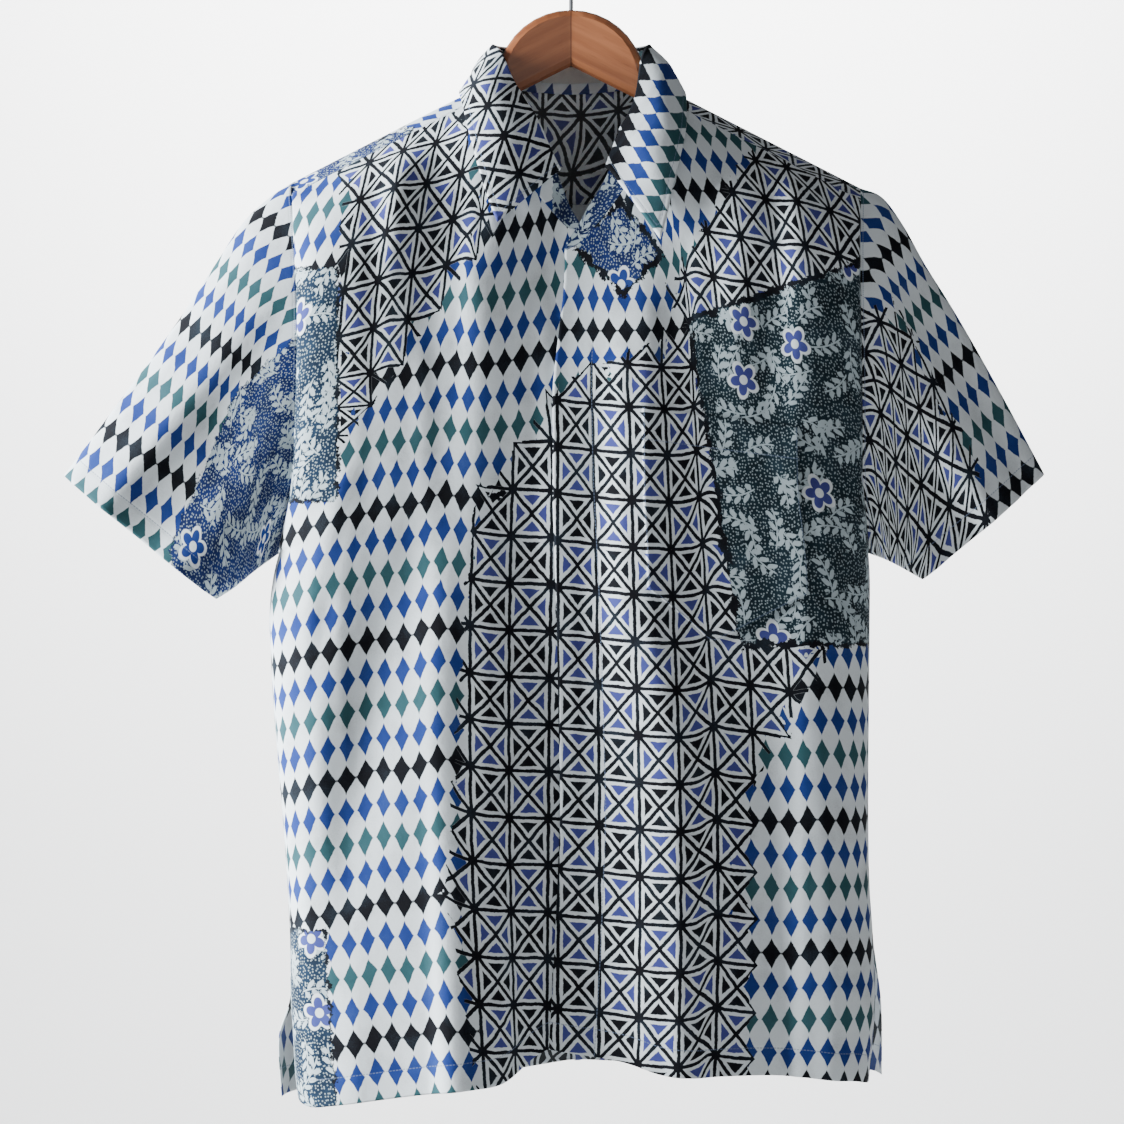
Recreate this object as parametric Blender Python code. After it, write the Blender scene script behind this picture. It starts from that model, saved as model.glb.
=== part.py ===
"""Short-sleeved batik shirt on a contoured wooden hanger.

Frame: +Z up, +X to the wearer's left, -Y to the front, origin where the hook hangs on its rail.
Sizes and tables are in millimetres; the meshes are made in metres.

The body is a pair of surfaces, front and back, that meet along the shoulder ridge and the side
seams. Each cut piece is a grid of points on them. All the grids share one set of vertex normals,
so that neighbouring walls meet at a seam with the same mitre, and each wall is drawn back from
its seams by half the seam gap.
"""
import math

import bmesh
import bpy
import numpy as np

MM = 0.001
MERGE = 1e-5

# Cloth
CLOTH = 1.2              # wall of one layer of cloth
COLLAR_CLOTH = 1.4       # wall of the stiffened collar
SEAM_GAP = 0.3           # between two pieces at a seam, and between layers sewn together
LAP_GAP = 0.6            # between the two fronts where one lies loose on the other

# Shoulders: the ridge falls away from the neck on both sides
NECK_HALF = 64.0         # half the width of the neck hole, on the ridge
RIDGE_NECK_Z = -118.4    # ridge at the neck hole
RIDGE_FALL = 0.52        # drop per millimetre outwards
ARCH_REACH = 75.0        # depth below the ridge at which the body has its full thickness
ARCH_POWER = 1.6         # 2 would be an ellipse, less is more pointed
FRONT_SEAM_DROP = 12.0   # front yoke seam below the ridge
BACK_SEAM_Z = (-208.0, -246.0)   # back yoke seam at the middle and at the armhole

# Body
DEPTH_FRONT = 52.0
DEPTH_BACK = 46.0
SIDE_ROUND = 52.0        # width of the rounded side of front and back
ARMHOLE_DEPTH = 35.0     # half the thickness of the armhole ring
ARMHOLE_POWER = 0.85
ARMPIT_Z = -480.0
SHOULDER_HALF = 215.0    # from the middle to the shoulder tip
CONTOUR = (0.0, -13.0)   # y of the ridge at the middle and at the shoulder tip
CONTOUR_FADE = (-200.0, -430.0)

# Armhole ring seen from the front: z, x on the wearer's right, x on the wearer's left
ARMHOLE_X = (
    (-480, -225, 229),
    (-430, -213, 222),
    (-345, -208, 220.5),
    (-260, -208, 218.5),
    (-197, -214, 221),
)
# Side seam, then the edges of the side slits:
# z, right front, right back, left front, left back (the wearer's right and left)
SIDE_X = (
    (-905, -209, -223, 227, 239),
    (-880, -212, -225, 229, 240),
    (-850, -214, -225, 232, 240),
    (-820, -216, -216, 234, 238.5),
    (-805, -216, -216, 235, 235),
    (-789, -216, -216, 233.5, 233.5),
    (-740, -218, -218, 230, 230),
    (-708, -220, -220, 229, 229),
    (-650, -225, -225, 229, 229),
    (-593, -229.5, -229.5, 229.5, 229.5),
    (-531, -232.5, -232.5, 230, 230),
    (-506, -231, -231, 230.5, 230.5),
    (-480, -225, -225, 229, 229),
)
SLIT_TOP_Z = (-826.0, -792.0)    # wearer's right, wearer's left
SLIT_SPREAD = 7.0                # how far each edge of a slit stands from the middle at the hem
SLIT_RUN = 80.0                  # and over what height it gets there

# Hems: x, z
HEM_FRONT = (
    (-212, -896), (-202, -901), (-150, -893), (-99, -885), (-57, -880), (-44, -874.5),
    (-34, -868), (-27, -861), (-16.8, -855), (7, -859), (42, -864), (70, -873),
    (97, -874.5), (172, -875), (213, -880), (229, -885),
)
HEM_BACK = ((-225, -899), (-150, -892), (0, -879), (150, -879), (240, -882))

# Front edge of the lapping front: z, x
FLY_EDGE = (
    (-853, -17), (-782, -13), (-676, -8.5), (-538, -11), (-440, -14), (-357, -14),
    (-282, -9), (-244, -5),
)
FLY_WIDTH = 35.0
FLY_COLUMNS = 4
FLY_SETBACK = 0.13               # of a column: the inner layer ends this much short of the edge
UNDERLAP_CELLS = 3
UNDERLAP_TOP = 11.0              # how far the under front reaches past the edge at the neck
UNDERLAP_Z = (-244.0, -330.0)    # it widens to the fly's width between these heights
LAP_RAMP = 30.0                  # the under front sinks to its layer over this width
UNDER_LAYER = 2 * CLOTH + SEAM_GAP + LAP_GAP

# Neckline in front: drop below the yoke seam, and the power of its curve
NECK_DROP = {-1: 107.0, 1: 122.0}
NECK_POWER = {-1: 0.6, 1: 0.5}
BACK_NECK_Z = -121.5

# Largest folds. Each has its course (x, z from top to bottom), half width and the height at
# its top and bottom: above 0 a ridge, below 0 a trough.
FRONT_FOLDS = (
    (((-128, -172), (-131, -262)), 15, 5, 2),
    (((-101, -170), (-104, -310)), 19, -5, -2),
    (((-67, -232), (-70, -400)), 21, 6, 2),
    (((-93, -470), (-90, -620), (-81, -895)), 36, 2, 17),
    (((-112, -470), (-131, -520), (-156, -620), (-178, -708), (-196, -830)), 27, -3, -9),
    (((-39, -400), (-36, -600), (-35, -870)), 24, -3, -14),
    (((53, -282), (52, -520), (66, -575), (77, -640), (84, -885)), 27, 6, 13),
    (((20, -380), (22, -640)), 16, -3, -2),
    (((128, -235), (126, -335)), 19, 5, 2),
    (((150, -205), (150, -330)), 15, -4, -2),
    (((174, -195), (177, -320)), 19, 4, 2),
    (((142, -590), (150, -880)), 42, -4, -9),
    (((196, -620), (200, -880)), 24, 2, 5),
)
BACK_FOLDS = (
    (((-120, -262), (-112, -885)), 32, 4, 12),
    (((-60, -262), (-52, -885)), 30, -4, -10),
    (((4, -235), (8, -885)), 34, 5, 13),
    (((66, -262), (70, -885)), 30, -4, -11),
    (((124, -262), (132, -885)), 32, 4, 12),
    (((-176, -500), (-170, -885)), 28, -3, -7),
    (((182, -500), (180, -885)), 28, -3, -7),
)

# Sleeve outlines from the armhole to the hem, seen from the front: x, z
SLEEVE_TOP = {
    -1: ((-214, -197), (-242, -216.5), (-259.5, -238), (-278.5, -268), (-313, -318),
         (-361, -382.5), (-389, -420)),
    1: ((221, -200), (239.5, -208), (256, -231), (272, -259.5), (291, -289.5), (328, -354),
        (363, -419)),
}
SLEEVE_UNDER = {
    -1: ((-225, -480), (-242.5, -493), (-259.5, -507), (-272, -515)),
    1: ((229, -480), (240, -484), (252, -490), (269.5, -500)),
}
SLEEVE_DEPTH = (35.0, 27.0, 24.0)    # half the thickness at the armhole, middle and hem
# Folds along the sleeves: place round the ring in degrees (front above 0, back below),
# half width in degrees, height at the middle and at the hem
SLEEVE_FOLDS = {
    -1: ((62, 17, 5, 6), (95, 15, -4, -5), (124, 17, 5, 5), (-70, 20, 5, 6), (-112, 20, -4, -5)),
    1: ((48, 16, -4, -5), (82, 18, 7, 8), (118, 15, -5, -6), (-70, 20, 5, 6), (-112, 20, -4, -5)),
}
SLEEVE_STEPS = (0.0, 0.07, 0.17, 0.3, 0.45, 0.6, 0.75, 0.88, 1.0)

# Collar: offset of the stand's top edge from the neckline, by the neckline's x.
# x, dx, dy, dz
STAND_FRONT = {
    -1: ((-64, 11, 12, 25), (-60, 17, 13, 23), (-50, 21.5, 9, 20.5), (-23, 12, 3, 20),
         (-10, 6, 2, 17), (0, 2, 1, 12), (8, 0, 0, 5)),
    1: ((-8, 2, 0, 5), (2, 0, 1, 11), (12, -3, 2, 16), (30, -5, 3, 20), (50, -11, 9, 25),
        (60, -9.5, 13, 22), (64, -8, 12, 25)),
}
STAND_SIDE = (4.0, 4.0, 26.0)        # at the ridge: inwards, backwards, up
STAND_BACK = (0.0, -3.0, 31.5)       # at the middle of the back
LEAF_START = {-1: -17.0, 1: 31.0}    # neckline x where the leaf begins
# Outer edge of the collar leaf: x, z, height over the body's surface
LEAF_EDGE = {
    -1: ((-57.3, -233, 8), (-65.6, -206, 6.5), (-71, -185, 6), (-77, -161, 5.5),
         (-80.5, -145, 5.5)),
    1: ((66.7, -245, 8), (73, -223, 6.5), (76, -206, 6), (80.5, -188, 6), (84, -171, 6),
        (86.5, -152, 6)),
}
LEAF_EDGE_RIDGE = (85.5, 5.0)        # x and height over the ridge
LEAF_EDGE_BACK = ((64, 29, -131), (33, 44, -135), (0, 48.5, -136))    # x, y, z
LEAF_BULGE = 6.5                     # less towards the two points
LEAF_GAP = 0.6                       # between the stand's top edge and the leaf
ROLL_RADIUS = 2.4                    # outer radius of the leaf's fold
ROLL_LIFT = 1.6                      # its middle above the stand's top edge
ROLL_TURNS = (180, 120, 60, 0)       # angles round the fold
LEAF_SHARES = (0.2, 0.4, 0.6, 0.8, 1.0)
NECK_BACK_CELLS = 14                 # round the back between the two yoke corners

# Chest pocket on the wearer's left: x of its sides, z of its edge and its pointed bottom
POCKET_TOP_Z = (-370.0, -385.0)      # at its inner and outer side
POCKET_FOOT_Z = (-506.0, -511.0)
POCKET_POINT = (102.5, -547.5)
POCKET_MIDDLE_Z = -440.0
POCKET_CELLS = (4, 14)               # first and last column of the front that it covers
POCKET_SHARES = (0, 0.2, 0.4, 0.6, 0.8, 1)
POCKET_GAP = 0.5

# Neck label on the inside of the stand
LABEL = (46.0, 13.0)
LABEL_LIFT = 8.0                     # lower edge above the neckline
LABEL_CLOTH = 1.0

# Hanger
WOOD_THICK = 12.0
HUMP_RADIUS = 57.0
HUMP_TOP_Z = -61.6
UNDERSIDE_PEAK_Z = -104.7
ARM_REACH = (-197.0, 203.0)
ARM_TIP = 7.0                        # radius of the arm's rounded tip
ARM_GAP = 0.75                       # between the arms and the yoke that rests on them
NECK_DIP = 1.6                       # the arm's top is lower under the collar's seam
WOOD_EDGE = 5.5                      # radius of its rounded edges
WIRE = 3.2
HOOK_RADIUS = 16.0                   # inside the bend
HOOK_NECK = ((0, -50), (0.8, -45), (4.0, -39.5), (9.5, -34.0))   # x, z of the shank's curve
SHANK_SOCKET = 11.0                  # how deep the wire sits in the wood

MITRE_LIMIT = 0.65                   # least cosine that a mitre's length allows for

# Grids: columns across, rows down
SETTLED_Z = -345.0               # below this the columns are spread evenly across the body
SIDE_STEPS = (0.0, 22.5, 45.0, 67.5, 90.0)   # angles round the side
SHOULDER_CELLS = 6               # between the rounded side and the neck corner
NECK_CELLS = {-1: 10, 1: 9}      # along the front neckline
NECK_CROWD = 1.5                 # power that crowds them towards the shoulder
# Distances from the side edge: the neck corner's column low down, then the columns beyond it
BELOW_NECK = {-1: 127.0, 1: 125.8}
BELOW_STEP = {-1: (12.6,) * 7, 1: (12.3,) * 4 + (17.5, 17.5, 11.7, 11.6, 11.7)}
YOKE_FOOT_X = 78.0               # the neck corner's column at the back seam
YOKE_FOOT_STEP = 11.0            # from there the columns to the middle
YOKE_NECK_X = (60.0, 50.0, 35.0, 18.0)   # those behind the ridge, at the neckline
RIDGE_SETBACK = 0.6              # the neckline's ridge point stands this much inside NECK_HALF
FRONT_ROW_ANGLES = (45, 65, 85, 105, 125, 145, 163, 180)
SEAM_ROWS_Z = (-500, -528, -562, -602, -645, -690, -735, -778, -820, -850, -878)
YOKE_ROWS = 8
YOKE_FRONT_ROWS = 2              # those in front of the ridge

COLOURS = {
    "print": (0.36, 0.46, 0.56),
    "wood": (0.47, 0.20, 0.085),
    "steel": (0.62, 0.62, 0.63),
    "label": (0.78, 0.80, 0.82),
}


def smooth(low, high, value):
    """0 below low, 1 above high and an S between; low may be the greater."""
    t = np.clip((np.asarray(value, float) - low) / (high - low), 0, 1)
    return t * t * (3 - 2 * t)


def lookup(table, value, column=1):
    """A column of a table whose first column rises or falls, at a value of the first."""
    rows = sorted(table)
    return float(np.interp(value, [r[0] for r in rows], [r[column] for r in rows]))


def along(points, t):
    """The point at the share t of the length of a smooth line through the points."""
    points = np.array(points, float)
    chords = np.linalg.norm(np.diff(points, axis=0), axis=1)
    place = np.concatenate([[0], np.cumsum(chords)]) / chords.sum()
    slopes = np.gradient(points, place, axis=0)
    i = int(np.clip(np.searchsorted(place, t) - 1, 0, len(points) - 2))
    span = place[i + 1] - place[i]
    s = (t - place[i]) / span
    return (
        (2 * s**3 - 3 * s**2 + 1) * points[i]
        + (s**3 - 2 * s**2 + s) * span * slopes[i]
        + (3 * s**2 - 2 * s**3) * points[i + 1]
        + (s**3 - s**2) * span * slopes[i + 1]
    )


# --- the body's surface -----------------------------------------------------------------

def ridge_z(x):
    return RIDGE_NECK_Z - RIDGE_FALL * (abs(x) - NECK_HALF)


def contour(x, z):
    """The hanger's arms reach forwards, and the upper body follows them."""
    middle, tip = CONTOUR
    out = min(abs(x) / SHOULDER_HALF, 1.0)
    return (middle + (tip - middle) * out) * (1 - smooth(*CONTOUR_FADE, z))


def arch(drop):
    """Share of the full depth of the body at a distance below the ridge."""
    rise = np.clip(1 - drop / ARCH_REACH, 0, 1)
    return (1 - rise**ARCH_POWER) ** (1 / ARCH_POWER)


def edge_x(side, face, z):
    """x of the edge of the front (face -1) or back (face 1): armhole, side seam, then slit."""
    if z > ARMPIT_Z:
        return lookup(ARMHOLE_X, z, 1 if side < 0 else 2)
    return lookup(SIDE_X, z, {(-1, -1): 1, (-1, 1): 2, (1, -1): 3, (1, 1): 4}[side, face])


def ring_top(side):
    return ridge_z(ARMHOLE_X[-1][1 if side < 0 else 2])


def ring_z(side, angle):
    top = ring_top(side)
    return (top + ARMPIT_Z) / 2 + (top - ARMPIT_Z) / 2 * math.cos(math.radians(angle))


def ring_angle(side, z):
    top = ring_top(side)
    share = (z - (top + ARMPIT_Z) / 2) / ((top - ARMPIT_Z) / 2)
    return math.degrees(math.acos(max(-1.0, min(1.0, share))))


def edge_depth(side, z):
    """Half the thickness of the body at its edge: the armhole ring, the seam, then the slit."""
    if z > ARMPIT_Z:
        return ARMHOLE_DEPTH * math.sin(math.radians(ring_angle(side, z))) ** ARMHOLE_POWER
    top = SLIT_TOP_Z[0 if side < 0 else 1]
    return SLIT_SPREAD * max(0.0, min(1.0, (top - z) / SLIT_RUN))


def fold_height(folds, x, z):
    """Sum of the folds at a place, each a soft ridge or trough along its course."""
    total = 0.0
    for course, half_width, at_top, at_foot in folds:
        heights = [p[1] for p in course][::-1]
        centre = np.interp(z, heights, [p[0] for p in course][::-1])
        top, foot = course[0][1], course[-1][1]
        share = (top - z) / (top - foot)
        ends = smooth(-0.16, 0.1, share) * (1 - 0.75 * smooth(1.0, 1.35, share))
        size = at_top + (at_foot - at_top) * min(max(share, 0), 1)
        total += size * ends * math.exp(-(((x - centre) / half_width) ** 2))
    return total


def body(x, z, face):
    """Point of the front (face -1) or back (face 1) at x and z."""
    side = -1 if x < 0 else 1
    edge = abs(edge_x(side, face, z))
    inwards = min(max((edge - abs(x)) / SIDE_ROUND, 0), 1)
    rounding = math.sqrt(1 - (1 - inwards) ** 2)
    full = DEPTH_FRONT if face < 0 else DEPTH_BACK
    depth = full * float(arch(ridge_z(x) - z))
    folds = FRONT_FOLDS if face < 0 else BACK_FOLDS
    away = smooth(10, 45, ridge_z(x) - z)
    depth += fold_height(folds, x, z) * smooth(0.1, 0.9, inwards) * away
    rim = edge_depth(side, z)
    return np.array([x, contour(x, z) + face * (rim + (depth - rim) * rounding), z])


def armhole(side, angle):
    """Point of the armhole ring; angle 0 on top, 180 in the armpit, below 0 on the back."""
    face = 1 if angle < 0 else -1
    z = ring_z(side, abs(angle))
    x = edge_x(side, face, z) if abs(angle) < 180 else ARMHOLE_X[0][1 if side < 0 else 2]
    depth = ARMHOLE_DEPTH * math.sin(math.radians(abs(angle))) ** ARMHOLE_POWER
    return np.array([x, contour(x, z) + face * depth, z])


# --- grids of the cut pieces ------------------------------------------------------------

def neck_front(side, share):
    """x and z of the front neckline from the yoke corner (0) to its end at the front (1)."""
    end = FLY_EDGE[-1][1] if side > 0 else FLY_EDGE[-1][1] + UNDERLAP_TOP
    x = side * NECK_HALF + (end - side * NECK_HALF) * share**NECK_CROWD
    corner = ridge_z(NECK_HALF) - FRONT_SEAM_DROP
    s = min(1.0, (NECK_HALF - side * x) / NECK_HALF)
    return x, corner - NECK_DROP[side] * s ** NECK_POWER[side]


def side_distances(to_corner):
    """Distances from the edge inwards: round the side, then evenly to the neck corner."""
    rounded = [SIDE_ROUND * (1 - math.cos(math.radians(a))) for a in SIDE_STEPS]
    step = (to_corner - SIDE_ROUND) / SHOULDER_CELLS
    return rounded + [SIDE_ROUND + step * (k + 1) for k in range(SHOULDER_CELLS)]


def front_columns(side):
    """For each column of a front: its x at the top, and its distance from the edge below."""
    edge = ARMHOLE_X[-1][1 if side < 0 else 2]
    top = [side * (abs(edge) - d) for d in side_distances(abs(edge) - NECK_HALF)]
    below = side_distances(BELOW_NECK[side])
    steps = BELOW_STEP[side] + (() if side > 0 else (FLY_WIDTH / UNDERLAP_CELLS,) * UNDERLAP_CELLS)
    for step in steps:
        below.append(below[-1] + step)
    cells = NECK_CELLS[side]
    top += [neck_front(side, (k + 1) / cells)[0] for k in range(cells)]
    return top, below


def front_rows(side):
    """z down the edge of a front: the armhole's front half, then the side seam and the slit."""
    first = ring_z(side, ring_angle(side, ring_top(side) - FRONT_SEAM_DROP))
    rows = [first] + [ring_z(side, a) for a in FRONT_ROW_ANGLES]
    return rows + list(SEAM_ROWS_Z) + [HEM_FRONT[0][1] if side < 0 else HEM_FRONT[-1][1]]


def front_grid(side):
    """Rows from yoke and neckline to hem, columns from the side to the front edge."""
    top_x, below = front_columns(side)
    edge_rows = front_rows(side)
    shares = [(z - edge_rows[0]) / (edge_rows[-1] - edge_rows[0]) for z in edge_rows]
    corner = len(SIDE_STEPS) + SHOULDER_CELLS - 1
    last = len(top_x) - 1
    grid = np.zeros((len(edge_rows), len(top_x), 3))
    for j, x_top in enumerate(top_x):
        if j <= corner:
            z_top = ridge_z(x_top) - FRONT_SEAM_DROP
        else:
            z_top = neck_front(side, (j - corner) / (last - corner))[1]
        for i, share in enumerate(shares):
            z = z_top + share * (front_hem_z(side, j, below) - z_top)
            if j == 0:
                z = edge_rows[i]
            x = column_x(side, j, below, x_top, z_top, z)
            if j == 0 and z > ARMPIT_Z - 0.01:
                grid[i, j] = armhole(side, ring_angle(side, z))
            else:
                grid[i, j] = body(x, z, -1)
    return grid


def front_end_x(side, z):
    """x of the front edge of a front: the fly's edge, or the end of the underlap."""
    edge = lookup(FLY_EDGE, z)
    if side > 0:
        return edge
    return edge + UNDERLAP_TOP + (FLY_WIDTH - UNDERLAP_TOP) * float(smooth(*UNDERLAP_Z, z))


def column_x(side, j, below, x_top, z_top, z):
    """x of a column: from its place at the top it settles to its place across the body."""
    edge = edge_x(side, -1, z)
    if side > 0:
        span = edge - front_end_x(side, z)
        low = edge - below[j] / below[-1] * span
    else:
        lap = len(below) - 1 - UNDERLAP_CELLS
        if j <= lap:
            low = edge + below[j] / below[lap] * (lookup(FLY_EDGE, z) - edge)
        else:
            start = lookup(FLY_EDGE, z)
            low = start + (j - lap) / UNDERLAP_CELLS * (front_end_x(side, z) - start)
    return x_top + (low - x_top) * float(smooth(z_top, SETTLED_Z, z))


def front_hem_z(side, j, below):
    x = column_x(side, j, below, 0.0, 0.0, HEM_FRONT[0][1])
    return lookup(HEM_FRONT, x)


def back_seam_z(x):
    middle, edge = BACK_SEAM_Z
    return middle + (edge - middle) * min(abs(x) / SHOULDER_HALF, 1) ** 2


def yoke_columns():
    """Each column of the yoke: start and end as x and signed root of the drop from the ridge."""
    front_root = -math.sqrt(FRONT_SEAM_DROP)
    columns = []
    for side in (-1, 1):
        edge = ARMHOLE_X[-1][1 if side < 0 else 2]
        seam_edge = abs(edge_x(side, 1, BACK_SEAM_Z[1]))
        starts = [(abs(edge) - a, front_root) for a in side_distances(abs(edge) - NECK_HALF)]
        feet = [seam_edge - b for b in side_distances(seam_edge - YOKE_FOOT_X)]
        starts += [(NECK_HALF, front_root / 2), (NECK_HALF - RIDGE_SETBACK, 0.0)]
        starts += [(x, neck_root(x)) for x in YOKE_NECK_X]
        inner = len(starts) - len(feet)
        feet += [YOKE_FOOT_X - YOKE_FOOT_STEP * (k + 1) for k in range(inner)]
        columns.append([(side * x, root, side * foot) for (x, root), foot in zip(starts, feet)])
    return columns[0] + [(0.0, neck_root(0.0), 0.0)] + columns[1][::-1]


def neck_root(x):
    return math.sqrt(ridge_z(x) - back_neck_z(x))


def back_neck_z(x):
    return BACK_NECK_Z + (RIDGE_NECK_Z - BACK_NECK_Z) * (abs(x) / NECK_HALF) ** 3


def yoke_grid():
    """Rows from the front seam or neckline over the ridge to the back seam, columns across."""
    columns = yoke_columns()
    grid = np.zeros((YOKE_ROWS + 1, len(columns), 3))
    for j, (x_top, root, x_foot) in enumerate(columns):
        side = -1 if x_foot < 0 else 1
        z_foot = back_seam_z(x_foot)
        end = math.sqrt(ridge_z(x_foot) - z_foot)
        at_edge = j in (0, len(columns) - 1)
        if at_edge:
            end = math.sqrt(ring_top(side) - BACK_SEAM_Z[1])
        for i, place in enumerate(yoke_places(root, end)):
            x = x_top + (x_foot - x_top) * i / YOKE_ROWS
            face = -1 if place < 0 else 1
            if at_edge:
                angle = ring_angle(side, ring_top(side) - place**2)
                grid[i, j] = armhole(side, -face * angle)
            else:
                grid[i, j] = body(x, ridge_z(x) - place**2, face)
    return grid


def yoke_places(root, end):
    """Signed roots of the drop for one column's rows, with a row on the ridge if it is crossed."""
    pivot = 0.0 if root < -0.01 else root + (end - root) * 0.2
    before = [root + (pivot - root) * i / YOKE_FRONT_ROWS for i in range(YOKE_FRONT_ROWS)]
    rest = YOKE_ROWS - YOKE_FRONT_ROWS
    return before + [pivot + (end - pivot) * i / rest for i in range(rest + 1)]


def back_grid(yoke):
    """Rows from the yoke's back seam to the hem, columns across from right to left."""
    top_row = yoke[-1]
    last = len(top_row) - 1
    angles = [a for a in FRONT_ROW_ANGLES if a > ring_angle(1, BACK_SEAM_Z[1]) + 8]
    grid = np.zeros((len(angles) + len(SEAM_ROWS_Z) + 2, last + 1, 3))
    for j, (top_x, _, top_z) in enumerate(top_row):
        side = -1 if j < last / 2 else 1
        across = abs(top_x) / abs(top_row[0 if side < 0 else -1][0])
        edge_rows = [BACK_SEAM_Z[1]] + [ring_z(side, a) for a in angles] + list(SEAM_ROWS_Z)
        edge_rows.append(lookup(HEM_BACK, edge_x(side, 1, HEM_BACK[0][1])))
        hem_z = lookup(HEM_BACK, across * edge_x(side, 1, HEM_BACK[0][1]))
        from_side = min(j, last - j)
        for i, z_edge in enumerate(edge_rows):
            share = (z_edge - edge_rows[0]) / (edge_rows[-1] - edge_rows[0])
            z = top_z + share * (hem_z - top_z)
            if from_side == 0 and z_edge > ARMPIT_Z - 0.01:
                grid[i, j] = armhole(side, -ring_angle(side, z_edge))
            elif from_side == 0:
                grid[i, j] = body(edge_x(side, 1, z_edge), z_edge, 1)
            elif i == 0:
                grid[i, j] = top_row[j]
            else:
                edge = abs(edge_x(side, 1, z))
                low = edge * across
                if from_side < len(SIDE_STEPS):
                    low = edge - SIDE_ROUND * (1 - math.cos(math.radians(SIDE_STEPS[from_side])))
                settled = float(smooth(top_z, SETTLED_Z, z))
                grid[i, j] = body(side * (abs(top_x) + (low - abs(top_x)) * settled), z, 1)
    return grid


def sleeve_grid(side, ring):
    """Rows from the armhole to the hem, columns once round from a list of ring angles."""
    grid = np.zeros((len(SLEEVE_STEPS), len(ring), 3))
    for i, t in enumerate(SLEEVE_STEPS):
        top = along(SLEEVE_TOP[side], t)
        under = along(SLEEVE_UNDER[side], t)
        depth = np.interp(t, (0, 0.45, 1), SLEEVE_DEPTH)
        for j, angle in enumerate(ring):
            grid[i, j] = sleeve_point(side, angle, top, under, depth, t)
            start = sleeve_point(side, angle, SLEEVE_TOP[side][0], SLEEVE_UNDER[side][0],
                                 SLEEVE_DEPTH[0], 0.0)
            grid[i, j] += (armhole(side, angle) - start) * (1 - t) ** 2
    return grid


def sleeve_point(side, angle, top, under, depth, t):
    top, under = np.array(top, float), np.array(under, float)
    face = 1 if angle < 0 else -1
    turn = math.radians(abs(angle))
    flat = (top + under) / 2 + (top - under) / 2 * math.cos(turn)
    thick = depth * math.sin(turn) ** ARMHOLE_POWER
    for place, half_width, at_middle, at_hem in SLEEVE_FOLDS[side]:
        size = np.interp(t, (0, 0.25, 0.5, 1), (0, 0.5 * at_middle, at_middle, at_hem))
        thick += size * math.exp(-(((angle - place) / half_width) ** 2))
    return np.array([flat[0], CONTOUR[1] * 0.6 + face * thick, flat[1]])


# --- walls ------------------------------------------------------------------------------

def grid_normals(grid, closed):
    """Sum of the normals of the triangles round each point of a grid."""
    rows, cols = grid.shape[:2]
    normals = np.zeros_like(grid)
    for i in range(rows - 1):
        for j in range(cols if closed else cols - 1):
            k = (j + 1) % cols
            a, b, c, d = grid[i, j], grid[i + 1, j], grid[i + 1, k], grid[i, k]
            for corners, ids in (
                ((a, b, c), ((i, j), (i + 1, j), (i + 1, k))),
                ((a, c, d), ((i, j), (i + 1, k), (i, k))),
            ):
                cross = np.cross(corners[1] - corners[0], corners[2] - corners[0])
                for at in ids:
                    normals[at] += cross
    return normals


def shared_normals(panels):
    """One normal for each point, the same on all the panels that meet there.

    A panel that closes round, which is a sleeve, counts as much as the others together. The
    normal is longer than 1 where a seam turns a corner, so that the walls keep their thickness.
    """
    own, sums = {}, ({}, {})
    for name, (grid, closed, outwards) in panels.items():
        own[name] = grid_normals(grid, closed) * outwards
        own[name] /= np.linalg.norm(own[name], axis=2, keepdims=True)
        for at in np.ndindex(grid.shape[:2]):
            key = tuple(np.round(grid[at], 3))
            sums[closed][key] = sums[closed].get(key, np.zeros(3)) + own[name][at]
    mean = {}
    for key in {**sums[0], **sums[1]}:
        parts = [group[key] / np.linalg.norm(group[key]) for group in sums if key in group]
        mean[key] = sum(parts) / np.linalg.norm(sum(parts))
    flattest = {}
    for name, (grid, closed, outwards) in panels.items():
        for at in np.ndindex(grid.shape[:2]):
            key = tuple(np.round(grid[at], 3))
            flattest[key] = min(flattest.get(key, 1.0), own[name][at] @ mean[key])
    shared = {}
    for name, (grid, closed, outwards) in panels.items():
        shared[name] = np.zeros_like(grid)
        for at in np.ndindex(grid.shape[:2]):
            key = tuple(np.round(grid[at], 3))
            shared[name][at] = mean[key] / max(flattest[key], MITRE_LIMIT)
    return shared


def drawn_back(grid, normals, edges, closed):
    """The grid with the named edges (top, foot, start, end) moved in by half a seam gap.

    Each point moves within its surface, square to the edge.
    """
    out = grid.copy()
    for edge in edges:
        here, there = {
            "top": (np.s_[0, :], np.s_[1, :]),
            "foot": (np.s_[-1, :], np.s_[-2, :]),
            "start": (np.s_[:, 0], np.s_[:, 1]),
            "end": (np.s_[:, -1], np.s_[:, -2]),
        }[edge]
        line = grid[here]
        if closed:
            course = np.roll(line, -1, axis=0) - np.roll(line, 1, axis=0)
        else:
            course = np.gradient(line, axis=0)
        step = np.cross(normals[here], course)
        step /= np.linalg.norm(step, axis=1, keepdims=True)
        inwards = np.sign(np.sum(step * (grid[there] - line)))
        out[here] = out[here] + step * inwards * SEAM_GAP / 2
    return out


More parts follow.
